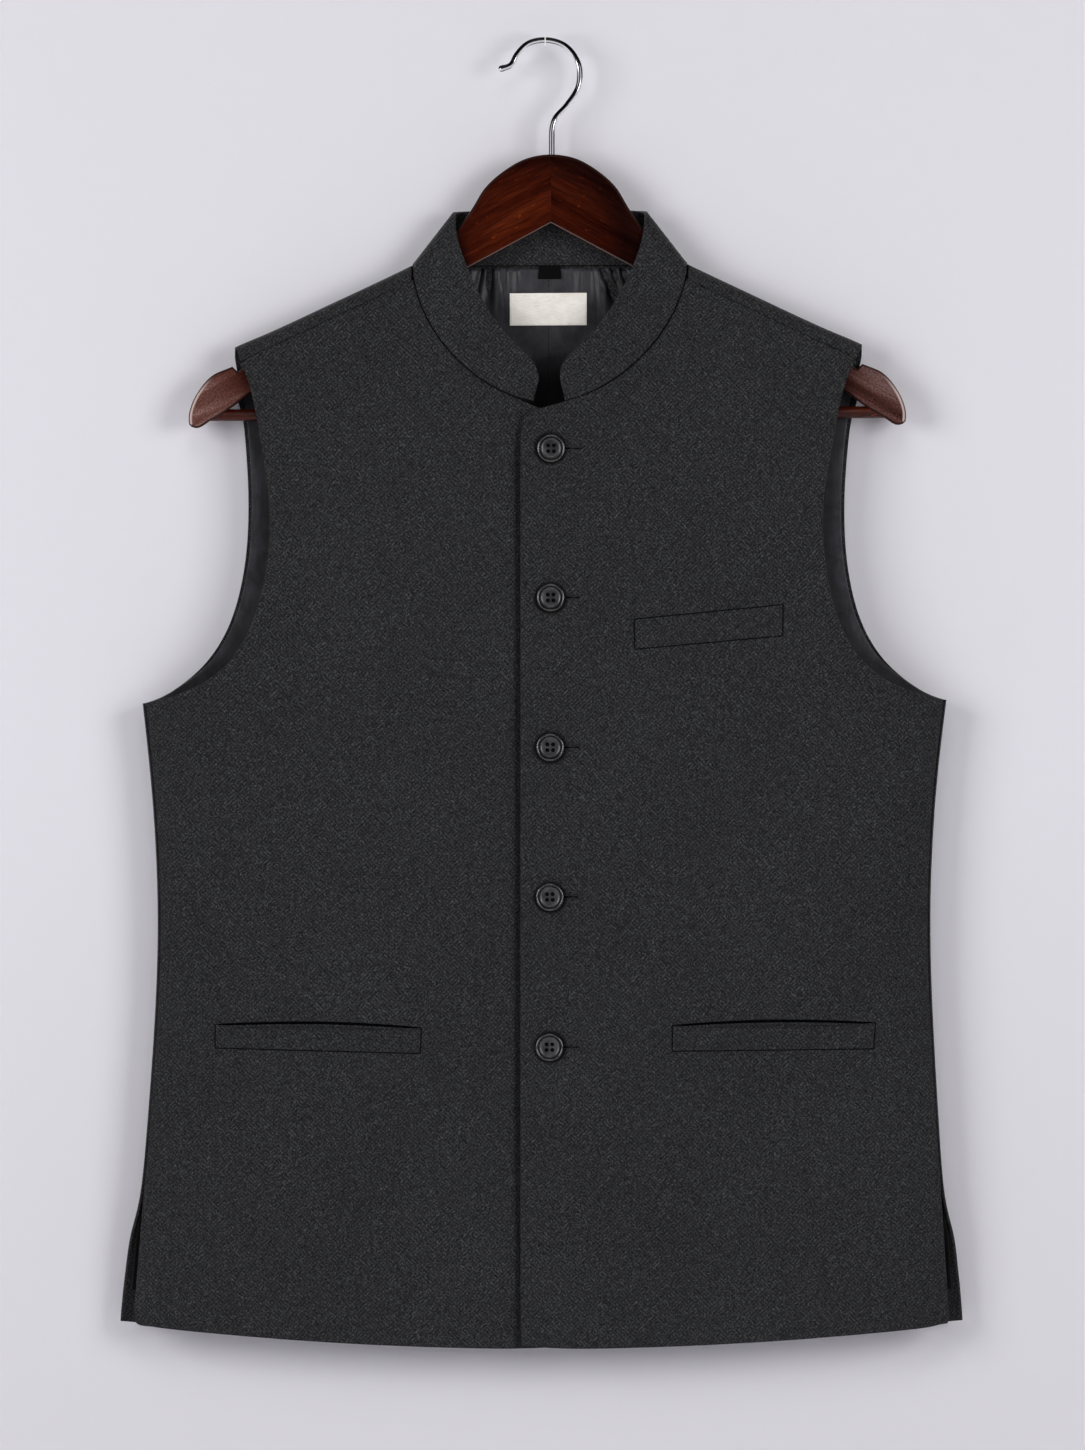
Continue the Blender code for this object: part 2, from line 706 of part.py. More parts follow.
def add_back(material, collection):
    rows = BACK_ROWS + FRONT_ROLL_ROWS
    mesh = grid_mesh("back", 2 * BACK_HALF_COLUMNS, rows, back_point, in_back, flip=True)
    back = add_object("back", mesh, material, collection)
    add_wall(back, BACK_WALL)
    return back


def add_lining(back, material, collection):
    """The back lining: the back's own points, moved in, short of its edges."""
    normals = {}
    for corner in back.data.vertices:
        normals[tuple(round(c, 6) for c in corner.co)] = corner.normal.copy()
    inward = BACK_WALL + SEAM_GAP

    def keep(column, row):
        step = abs(column + LINING_INSET - BACK_HALF_COLUMNS)
        if row + 1 <= LOW_ROWS:
            return True
        if row + 1 <= LOW_ROWS + BACK_HIGH_ROWS:
            return step <= BACK_MAIN_COLUMNS
        return step < NECK_COLUMNS

    def place(column, row):
        column = column + LINING_INSET
        row = row + 1
        point = back_point(column, row)
        normal = normals[tuple(round(c, 6) for c in point)]
        point = point - normal * inward
        side = 1 if column > BACK_HALF_COLUMNS else -1
        if row > LOW_ROWS and abs(column - BACK_HALF_COLUMNS) == BACK_MAIN_COLUMNS:
            point = point.lerp(back_point(column - side, row) - normal * inward, LINING_EDGE_INSET)
        return point

    columns = 2 * (BACK_HALF_COLUMNS - LINING_INSET)
    mesh = grid_mesh("back_lining", columns, BACK_ROWS - LINING_SHORT_ROWS, place, keep, flip=True)
    lining = add_object("back_lining", mesh, material, collection)
    add_wall(lining, LINING_WALL)


def collar_front_top(side):
    """Even steps of the collar's top edge, from its front end to where it turns over the wood."""
    first = math.acos((COLLAR_END_TOP / COLLAR_TOP_HALF) ** (COLLAR_TOP_POWER / 2))
    last = math.asin((COLLAR_TOP_ROLL / COLLAR_TOP_DROP) ** (COLLAR_TOP_POWER / 2))
    curve = []
    for i in range(CURVE_STEPS + 1):
        angle = first + (last - first) * i / CURVE_STEPS
        across, down = superellipse(COLLAR_TOP_HALF, COLLAR_TOP_DROP, COLLAR_TOP_POWER, angle)
        height = COLLAR_TOP_HEIGHT - down
        curve.append((body("centre", height) + side * across, height))
    return curve


def collar_stations(side):
    """(seam point, top point, distance from the front end) for one half of the collar."""
    neck = neckline(side)
    top_curve = collar_front_top(side)
    seam_height = neck[-1][1]
    top_depth = front_depth(side, side * NECK_HALF, seam_height) - COLLAR_LEAN
    shares = list(COLLAR_END_SHARES) + [i / NECK_ROWS for i in range(1, NECK_ROWS + 1)]
    stations = []
    for share in shares:
        x, height = along(neck, share)
        forward = front_depth(side, x, height)
        seam = Vector((x, -forward, height))
        x_top, top_height = along(top_curve, share)
        top = Vector((x_top, -forward - (top_depth - forward) * ease(share), top_height))
        stations.append((seam, top, share * COLLAR_FRONT_LENGTH))
    seam_end, top_end = stations[-1][:2]
    centre = body("centre", NECK_POINT_HEIGHT)
    seam_ridge = Vector((centre + side * NECK_HALF, 0.0, NECK_POINT_HEIGHT))
    top_ridge = Vector((centre + side * COLLAR_TOP_HALF, 0.0, COLLAR_TOP_HEIGHT))
    for i in range(1, COLLAR_ROLL_STATIONS + 1):
        angle = math.pi / 2 * i / COLLAR_ROLL_STATIONS
        pair = []
        for end, ridge in ((seam_end, seam_ridge), (top_end, top_ridge)):
            point = end + (ridge - end) * math.sin(angle)
            point.y = end.y * math.cos(angle)
            pair.append(point)
        stations.append((pair[0], pair[1], COLLAR_FRONT_LENGTH))
    for step in reversed(range(NECK_COLUMNS)):
        across = math.sin(math.pi / 2 * step / NECK_COLUMNS)
        height, seam_depth = back_top(NECK_HALF * across)
        seam = Vector((centre + side * NECK_HALF * across, seam_depth, height))
        top_height = COLLAR_TOP_HEIGHT + COLLAR_BACK_RISE * (1 - across)
        top_depth = COLLAR_BACK_DEPTH * seam_depth / BACK_NECK_DEPTH
        top = Vector((centre + side * COLLAR_TOP_HALF * across, top_depth, top_height))
        stations.append((seam, top, COLLAR_FRONT_LENGTH))
    return stations


def add_collar(material, collection):
    halves = {side: collar_stations(side) for side in (1, -1)}
    last = len(halves[1]) - 1

    def place(column, row):
        side = -1 if column > last else 1
        seam, top, distance = halves[side][last - abs(column - last)]
        if column == last:
            seam, top, distance = halves[1][last]
        height = (top - seam).length
        missing = max(0.0, 1 - distance / COLLAR_CORNER)
        full = 1 - COLLAR_CORNER / height * (1 - math.sqrt(1 - missing * missing))
        foot = COLLAR_FOOT_GAP / height
        share = 1 - thin_last(COLLAR_ROWS - row, COLLAR_ROWS, THIN_SIDE_SHARE)
        return tilted(seam + (top - seam) * (foot + (full - foot) * share))

    mesh = grid_mesh("collar", 2 * last, COLLAR_ROWS, place)
    collar = add_object("collar", mesh, material, collection)
    add_wall(collar, COLLAR_WALL)


def add_welt(welt, material, collection):
    """A welt strip that lies on its front, from the front's points moved out."""

    def place(column, row):
        share = column / WELT_COLUMNS
        x = welt.inner_x + (welt.outer_x - welt.inner_x) * share
        middle = welt.inner_height + (welt.outer_height - welt.inner_height) * share
        height = middle + welt.width * (row - 0.5)
        return front_point(welt.side, x, height, LAID_GAP + WELT_WALL)

    mesh = grid_mesh(welt.name, WELT_COLUMNS, 1, place, flip=welt.side < 0)
    strip = add_object(welt.name, mesh, material, collection)
    add_wall(strip, WELT_WALL)


def add_label(name, width, height, top, taper, material, collection):
    """A label that lies on the inside of the back lining."""
    inner_face = BACK_WALL + SEAM_GAP + LINING_WALL + LAID_GAP

    def place(column, row):
        share = column / LABEL_COLUMNS - 0.5
        level = top - height * (1 - row)
        x = LABEL_X + width * share * (1 + taper * (1 - row))
        return tilted(Vector((x, back_surface(x, level) - inner_face - LABEL_WALL, level)))

    mesh = grid_mesh(name, LABEL_COLUMNS, 1, place)
    label = add_object(name, mesh, material, collection)
    add_wall(label, LABEL_WALL)


def applied_mesh(obj, name):
    """The mesh that an object's modifiers make, which replaces the object."""
    graph = bpy.context.evaluated_depsgraph_get()
    mesh = bpy.data.meshes.new_from_object(obj.evaluated_get(graph))
    mesh.name = name
    matrix = obj.matrix_world.copy()
    bpy.data.objects.remove(obj, do_unlink=True)
    cleaned = bmesh.new()
    cleaned.from_mesh(mesh)
    bmesh.ops.remove_doubles(cleaned, verts=cleaned.verts, dist=0.00001)
    bmesh.ops.recalc_face_normals(cleaned, faces=cleaned.faces)
    cleaned.to_mesh(mesh)
    cleaned.free()
    return mesh, matrix


def rod_mesh(name, radius, length, matrix, sides):
    mesh = bmesh.new()
    bmesh.ops.create_cone(
        mesh, cap_ends=True, segments=sides, radius1=radius, radius2=radius, depth=length, matrix=matrix
    )
    data = bpy.data.meshes.new(name)
    mesh.to_mesh(data)
    mesh.free()
    return data


def bar_place(x):
    """Where a rod lies along the hanger's bar, at x from the hanger's middle."""
    turn = Matrix.Rotation(math.pi / 2, 4, "Y")
    return HANGER_TILT @ Matrix.Translation((HANGER_X + x, 0.0, BAR_HEIGHT)) @ turn


def add_cutter(name, radius, length, matrix, collection, sides=12):
    data = rod_mesh(name, radius, length, matrix, sides)
    cutter = bpy.data.objects.new(name, data)
    cutter.hide_render = True
    cutter.display_type = "WIRE"
    collection.objects.link(cutter)
    return cutter


def cut(obj, cutter):
    modifier = obj.modifiers.new(cutter.name, "BOOLEAN")
    modifier.object = cutter
    modifier.operation = "DIFFERENCE"
    modifier.solver = "EXACT"


def button_mesh(parts, cutters):
    """A turned button with a raised rim, a dished middle and four sewing holes."""
    outline = bmesh.new()
    corners = [outline.verts.new((radius, 0.0, height)) for radius, height in BUTTON_PROFILE]
    for start, end in zip(corners, corners[1:]):
        outline.edges.new((start, end))
    data = bpy.data.meshes.new("button_profile")
    outline.to_mesh(data)
    outline.free()
    blank = bpy.data.objects.new("button_blank", data)
    parts.objects.link(blank)
    screw = blank.modifiers.new("turn", "SCREW")
    screw.axis = "Z"
    screw.steps = BUTTON_STEPS
    screw.render_steps = BUTTON_STEPS
    screw.use_merge_vertices = True
    screw.merge_threshold = 0.00001
    for i in range(4):
        angle = math.pi / 4 + math.pi / 2 * i
        spot = Vector((math.cos(angle), math.sin(angle), 0.0)) * BUTTON_HOLE_OFFSET * math.sqrt(2)
        place = Matrix.Translation(spot)
        hole = add_cutter(
            f"button_hole_{i + 1}", BUTTON_HOLE_RADIUS, BUTTON_RADIUS, place, cutters, BUTTON_HOLE_SIDES
        )
        cut(blank, hole)
    mesh, _ = applied_mesh(blank, "button")
    mesh.shade_smooth()
    mesh.set_sharp_from_angle(angle=SHARP_ANGLE)
    return mesh


def add_buttons(material, parts, cutters):
    mesh = button_mesh(parts, cutters)
    for i, height in enumerate(BUTTON_HEIGHTS):
        share = i / (len(BUTTON_HEIGHTS) - 1)
        x = BUTTON_X_TOP + (BUTTON_X_BOTTOM - BUTTON_X_TOP) * share
        seat = front_point(1, x, height, LAID_GAP)
        outward = front_point(1, x, height, BUTTON_RADIUS) - front_point(1, x, height)
        button = add_object(f"button_{i + 1}", mesh, material, parts)
        button.location = seat
        button.rotation_euler = outward.to_track_quat("Z", "Y").to_euler()


def add_arm(name, side, material, parts, cutters):
    """One half of the hanger: a rounded flat outline, mitred at the middle."""
    curve = bpy.data.curves.new(name, "CURVE")
    curve.dimensions = "2D"
    curve.fill_mode = "BOTH"
    curve.extrude = HANGER_THICKNESS / 2 - HANGER_ROUNDING
    curve.bevel_depth = HANGER_ROUNDING
    curve.offset = -HANGER_ROUNDING
    curve.bevel_resolution = 2
    curve.resolution_u = 3
    spline = curve.splines.new("BEZIER")
    spline.bezier_points.add(len(ARM_OUTLINE) - 1)
    spline.use_cyclic_u = True
    for knot, place in zip(spline.bezier_points, ARM_OUTLINE):
        handle = "VECTOR" if place.corner else "AUTO"
        centre = HANGER_X + HANGER_NECK_SHIFT * (1 - ease(place.reach / HANGER_SHIFT_REACH))
        knot.co = (centre + side * place.reach, place.height, 0.0)
        knot.handle_left_type = handle
        knot.handle_right_type = handle
    outline = bpy.data.objects.new(name, curve)
    parts.objects.link(outline)
    outline.rotation_euler = (math.pi / 2, 0.0, 0.0)
    bpy.context.view_layer.update()
    mesh, matrix = applied_mesh(outline, name)
    mesh.transform(HANGER_TILT @ matrix)
    mitre = bmesh.new()
    mitre.from_mesh(mesh)
    geometry = mitre.verts[:] + mitre.edges[:] + mitre.faces[:]
    plane = (MITRE_X + side * SEAM_GAP / 2, 0.0, 0.0)
    sliced = bmesh.ops.bisect_plane(
        mitre, geom=geometry, plane_co=plane, plane_no=(-side, 0.0, 0.0), clear_outer=True
    )
    cut_edges = [item for item in sliced["geom_cut"] if isinstance(item, bmesh.types.BMEdge)]
    bmesh.ops.edgeloop_fill(mitre, edges=cut_edges)
    bmesh.ops.recalc_face_normals(mitre, faces=mitre.faces)
    mitre.to_mesh(mesh)
    mitre.free()
    mesh.shade_smooth()
    mesh.set_sharp_from_angle(angle=SHARP_ANGLE)
    arm = add_object(name, mesh, material, parts)
    shank = Matrix.Translation((MITRE_X, 0.0, (SHANK_TOP + SHANK_END) / 2))
    shank_hole = add_cutter(
        f"shank_hole_{name}", WIRE_RADIUS + SEAM_GAP, SHANK_TOP - SHANK_END, shank, cutters
    )
    cut(arm, shank_hole)
    inside = bar_place(side * (BAR_HALF - BAR_SOCKET_INSET))
    socket_length = 2 * (BAR_SOCKET_INSET + BAR_SOCKET_CLEARANCE)
    socket_radius = BAR_RADIUS + BAR_SOCKET_CLEARANCE
    socket = add_cutter(f"bar_socket_{name}", socket_radius, socket_length, inside, cutters, BAR_SIDES)
    cut(arm, socket)


def add_bar(material, collection):
    data = rod_mesh("hanger_bar", BAR_RADIUS, 2 * BAR_HALF, bar_place(0.0), BAR_SIDES)
    data.shade_smooth()
    data.set_sharp_from_angle(angle=SHARP_ANGLE)
    add_object("hanger_bar", data, material, collection)


def add_hook(material, collection):
    curve = bpy.data.curves.new("hanger_hook", "CURVE")
    curve.dimensions = "3D"
    curve.bevel_depth = WIRE_RADIUS
    curve.bevel_resolution = 2
    curve.use_fill_caps = True
    route = spline_points([(p.x, p.height) for p in HOOK_ROUTE], 3)
    spline = curve.splines.new("POLY")
    spline.points.add(len(route) - 1)
    for knot, (x, height) in zip(spline.points, route):
        knot.co = (x, 0.0, height, 1.0)
    curve.materials.append(material)
    hook = bpy.data.objects.new("hanger_hook", curve)
    collection.objects.link(hook)


def main():
    clear_scene()
    parts = new_collection("nehru_waistcoat_on_hanger")
    cutters = new_collection("cutters")
    cloth = make_material("charcoal_wool", (0.026, 0.026, 0.028), 0.9)
    satin = make_material("lining_satin", (0.040, 0.040, 0.046), 0.45)
    woven = make_material("woven_label", (0.82, 0.79, 0.74), 0.7)
    tape = make_material("black_tape", (0.010, 0.010, 0.011), 0.6)
    resin = make_material("polished_resin", (0.045, 0.045, 0.050), 0.2)
    mahogany = make_material("mahogany", (0.050, 0.010, 0.004), 0.25)
    chrome = make_material("chrome_wire", (0.75, 0.75, 0.77), 0.12, 1.0)
    add_front("front_left", 1, cloth, parts)
    add_front("front_right", -1, cloth, parts)
    back = add_back(cloth, parts)
    add_lining(back, satin, parts)
    add_collar(cloth, parts)
    for welt in WELTS:
        add_welt(welt, cloth, parts)
    add_buttons(resin, parts, cutters)
    add_label("neck_label", LABEL_WIDTH, LABEL_HEIGHT, LABEL_TOP, 0.0, woven, parts)
    add_label("size_tab", TAB_WIDTH, TAB_HEIGHT, TAB_TOP, TAB_TAPER, tape, parts)
    add_arm("hanger_arm_left", 1, mahogany, parts, cutters)
    add_arm("hanger_arm_right", -1, mahogany, parts, cutters)
    add_bar(mahogany, parts)
    add_hook(chrome, parts)


main()
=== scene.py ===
from functools import partial
from math import cos, exp, hypot, pi, radians, sin, sqrt

import bmesh
import bpy
import numpy as np
from mathutils import Matrix, Vector, noise
from mathutils.bvhtree import BVHTree
from mathutils.kdtree import KDTree


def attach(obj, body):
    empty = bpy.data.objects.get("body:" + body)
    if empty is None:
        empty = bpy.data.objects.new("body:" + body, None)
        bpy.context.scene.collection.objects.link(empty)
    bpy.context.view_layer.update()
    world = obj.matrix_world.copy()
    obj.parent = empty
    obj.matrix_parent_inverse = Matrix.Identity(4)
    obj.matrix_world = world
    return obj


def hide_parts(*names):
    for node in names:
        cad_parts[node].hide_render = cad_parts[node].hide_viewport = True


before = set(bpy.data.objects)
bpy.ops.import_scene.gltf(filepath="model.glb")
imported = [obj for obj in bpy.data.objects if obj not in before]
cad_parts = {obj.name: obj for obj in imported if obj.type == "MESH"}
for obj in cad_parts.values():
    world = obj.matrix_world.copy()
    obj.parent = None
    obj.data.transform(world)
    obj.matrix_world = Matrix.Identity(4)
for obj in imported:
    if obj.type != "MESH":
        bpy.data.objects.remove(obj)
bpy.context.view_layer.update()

mm = 0.001


# ---- small helpers ----
def toLinear(hexColour):
    values = [int(hexColour[i:i + 2], 16) / 255 for i in (1, 3, 5)]
    return (*(v / 12.92 if v <= 0.04045 else ((v + 0.055) / 1.055) ** 2.4 for v in values), 1.0)


def ease(t):
    t = min(max(t, 0.0), 1.0)
    return t * t * (3 - 2 * t)


def roundedStep(away, radius):
    t = min(max(away / radius, 0.0), 1.0)
    return sqrt(1 - (1 - t) ** 2)


def evenSteps(a, b, count):
    return [(a[0] + (b[0] - a[0]) * i / count, a[1] + (b[1] - a[1]) * i / count) for i in range(count + 1)]


def setAll(thing, **settings):
    for key, value in settings.items():
        setattr(thing, key, value)
    return thing


def addObject(name, data):
    made = bpy.data.objects.new(name, data)
    bpy.context.scene.collection.objects.link(made)
    return made


# A node given as a value is linked by its first live output, and a hex colour is made linear.
def setInputs(node, values):
    for key, value in values.items():
        if isinstance(value, bpy.types.Node):
            value = next(socket for socket in value.outputs if socket.enabled)
        if isinstance(value, bpy.types.NodeSocket):
            node.id_data.links.new(value, node.inputs[key])
        else:
            node.inputs[key].default_value = toLinear(value) if isinstance(value, str) else value


def addNode(tree, kind, inputs=None, stops=(), **settings):
    made = setAll(tree.nodes.new(kind if "Node" in kind else "ShaderNode" + kind), **settings)
    setInputs(made, inputs or {})
    if stops:
        elements = made.color_ramp.elements
        while len(elements) < len(stops):
            elements.new(1.0)
        for element, (place, colour) in zip(elements, stops):
            element.position = place
            element.color = toLinear(colour)
    return made


# ---- camera ----
viewer = {
    "distance": 8.0, "focus": -0.012, "x": -0.0019, "z": -0.423, "frameHeight": 0.899, "sensor": 24.0}


def makeCamera():
    data = bpy.data.cameras.new("camera")
    data.sensor_width = viewer["sensor"]
    data.lens = viewer["sensor"] * viewer["distance"] / viewer["frameHeight"]
    camera = addObject("camera", data)
    camera.location = (viewer["x"], viewer["focus"] - viewer["distance"], viewer["z"])
    camera.rotation_euler = (radians(90), 0.0, 0.0)
    bpy.context.scene.camera = camera


makeCamera()
bpy.context.scene.view_settings.view_transform = "Standard"
print("camera placed")

# ---- materials ----
blended = {"data_type": "RGBA"}
multiplied = {"data_type": "RGBA", "blend_type": "MULTIPLY"}


def startMaterial(name):
    material = bpy.data.materials.new(name)
    material.use_nodes = True
    tree = material.node_tree
    add = partial(addNode, tree)
    return material, add, tree.nodes["Principled BSDF"], add("TexCoord").outputs["Object"]


# Worsted wool crepe: tightly twisted dark and paler yarns cross both ways, so short flecks lie
# diagonally. Round each button the cloth's colour is darkened: painted shade of the button.
woolLook = {
    "across": 0.84 * mm, "along": 1.55 * mm, "strokePeriod": 1.9 * mm, "strokeShare": 0.26,
    "patchSize": 3 * mm, "cloudSize": 90 * mm, "cloudDepth": 0.06, "lean": 45.0, "bump": 0.5,
    "bumpHeight": 0.2 * mm, "roughness": 0.9, "buttonShadeCentre": (2.9 * mm, 0.0, -251.7 * mm),
    "buttonShadePitch": 92.7 * mm, "buttonShadeRadius": 9.2 * mm, "buttonShadeBlur": 2 * mm,
}


def woolMaterial(name, tones, paintedButtonShade=False, sheen=0.05, specular=0.2):
    look = woolLook
    material, add, shader, place = startMaterial(name)
    fields = []
    for turn in (look["lean"], -look["lean"]):
        turned = add("Mapping", {"Vector": place, "Rotation": (0.0, radians(turn), 0.0)})
        stretched = add("Mapping", {
            "Vector": turned, "Scale": (1 / look["along"], 1 / look["across"], 1 / look["across"])})
        fleck = add("TexNoise", {
            "Vector": stretched, "Scale": 1.0, "Detail": 1.0, "Roughness": 0.6, "Distortion": 0.4})
        stroke = add("TexWave", {
            "Vector": turned, "Scale": pi / 10 / look["strokePeriod"], "Distortion": 5.0, "Detail": 1.0,
            "Detail Scale": 4.0}, bands_direction="Z").outputs["Fac"]
        fields.append(add("Mix", {0: look["strokeShare"], 2: fleck, 3: stroke}))
    patch = add("TexNoise", {"Vector": place, "Scale": 1 / look["patchSize"], "Detail": 1.0})
    sharpPatch = add("MapRange", {"Value": patch, "From Min": 0.42, "From Max": 0.58})
    grain = add("Mix", {0: sharpPatch, 2: fields[0], 3: fields[1]})
    cloud = add("TexNoise", {"Vector": place, "Scale": 1 / look["cloudSize"]})
    depth = look["cloudDepth"]
    lifted = add("Math", {0: cloud, 1: depth, 2: -depth / 2}, operation="MULTIPLY_ADD")
    level = add("Math", {0: grain, 1: lifted}, operation="ADD")
    base = add("ValToRGB", {0: level}, tuple(zip((0.26, 0.39, 0.5, 0.61, 0.76), tones)))
    # painted shade: a darker ring of cloth colour round each of the five buttons
    if paintedButtonShade:
        pitch, radius = look["buttonShadePitch"], look["buttonShadeRadius"]
        shifted = add("VectorMath", {0: place, 1: look["buttonShadeCentre"]}, operation="SUBTRACT")
        x, _, z = add("SeparateXYZ", {0: shifted}).outputs
        folded = add("Math", {0: z, 1: pitch / 2}, operation="PINGPONG")
        flat = add("CombineXYZ", {0: x, 2: folded})
        away = add("VectorMath", {0: flat}, operation="LENGTH")
        shade = add("MapRange", {
            "Value": away, "From Min": radius, "From Max": radius + look["buttonShadeBlur"], "To Min": 0.1})
        above = add("Math", {0: z, 1: -4.4 * pitch}, operation="GREATER_THAN")
        below = add("Math", {0: z, 1: 0.4 * pitch}, operation="LESS_THAN")
        both = add("Math", {0: above, 1: below}, operation="MULTIPLY")
        amount = add("Mix", {0: both, 2: 1.0, 3: shade})
        base = add("Mix", {0: 1.0, 6: base, 7: amount}, **multiplied)
    setInputs(shader, {
        "Base Color": base, "Roughness": look["roughness"], "Specular IOR Level": specular,
        "Sheen Weight": sheen, "Sheen Tint": "#9a9aa2",
        "Normal": add("Bump", {"Strength": look["bump"], "Distance": look["bumpHeight"], "Height": grain})})
    return material


# Acetate satin: long floats along the length give soft streaks of shine and a fine grain. Its colour
# is multiplied by painted light and shade: darker by the fronts, in the gathers and the closing.
satinLook = {
    "thread": 0.45 * mm, "run": 18 * mm, "blotch": 14 * mm, "roughness": 0.42, "bump": 0.4,
    "bumpHeight": 0.05 * mm,
}


def satinMaterial(name, dark, light):
    look = satinLook
    material, add, shader, place = startMaterial(name)
    across = 1 / look["thread"]
    stretched = add("Mapping", {"Vector": place, "Scale": (across, across, 1 / look["run"])})
    thread = add("TexNoise", {"Vector": stretched, "Scale": 1.0})
    cloud = add("TexNoise", {
        "Vector": place, "Scale": 1 / look["blotch"], "Detail": 4.0, "Roughness": 0.6, "Distortion": 0.8})
    level = add("Mix", {0: 0.75, 2: thread, 3: cloud})
    colour = add("ValToRGB", {0: level}, ((0.38, dark), (0.62, light)))
    # painted light and shade: a per-vertex factor that the lining's colour is multiplied by
    paintedLightAndShade = add("Attribute", attribute_name="paintedLightAndShade")
    setInputs(shader, {
        "Base Color": add("Mix", {0: 1.0, 6: colour, 7: paintedLightAndShade}, **multiplied), "Roughness": look["roughness"],
        "Specular IOR Level": 0.32, "Anisotropic": 0.4, "Sheen Weight": 0.06, "Sheen Roughness": 0.35,
        "Sheen Tint": "#a0a0a8",
        "Normal": add("Bump", {"Strength": look["bump"], "Distance": look["bumpHeight"], "Height": thread})})
    return material


# Woven damask label: fine cross threads, a little uneven in tone, with a soft shine.
def labelMaterial(name, dark, light):
    material, add, shader, place = startMaterial(name)
    rows = add("Mapping", {"Vector": place, "Scale": (300.0, 300.0, 2200.0)})
    thread = add("TexNoise", {"Vector": rows, "Scale": 1.0, "Detail": 1.0})
    tone = add("TexNoise", {"Vector": place, "Scale": 140.0, "Detail": 3.0})
    level = add("Mix", {0: 0.5, 2: thread, 3: tone})
    setInputs(shader, {
        "Base Color": add("ValToRGB", {0: level}, ((0.3, dark), (0.6, light))),
        "Roughness": 0.6, "Specular IOR Level": 0.3, "Sheen Weight": 0.2,
        "Normal": add("Bump", {"Strength": 0.5, "Distance": 0.08 * mm, "Height": thread})})
    return material


# Polyester resin button: the rim is tumble polished nearly black, the dished face is left satin grey.
def resinMaterial(name, dark, light, smoothest, roughest, coat):
    material, add, shader, place = startMaterial(name)
    cloud = add("TexNoise", {"Vector": place, "Scale": 160.0})
    setInputs(shader, {
        "Base Color": add("ValToRGB", {0: cloud}, ((0.35, dark), (0.65, light))),
        "Roughness": add("MapRange", {
            "Value": cloud, "From Min": 0.3, "From Max": 0.7, "To Min": smoothest, "To Max": roughest}),
        "Specular IOR Level": 0.8, "Coat Weight": coat, "Coat Roughness": 0.1,
        "Normal": add("Bump", {"Strength": 0.02, "Distance": 0.05 * mm, "Height": cloud})})
    return material


# Stained mahogany under gloss varnish: dark pores run along each arm and meet in a V at the mitre.
# The wood carries painted shade in a band round the neck's arch and on its rounded edges, a paler
# greyer painted sheen towards the tips and a thin painted highlight along some edges.
woodLook = {
    "slope": 27.8, "mitre": 3.35 * mm, "otherBoard": 0.37, "pore": 0.6 * mm, "run": 15 * mm,
    "band": 8 * mm, "archCentre": (-4 * mm, 0.0, -124 * mm), "reach": 0.25, "tipSheenFrom": 0.785,
    "tipSheenTo": 0.91, "paintedHighlight": 0.88,
}


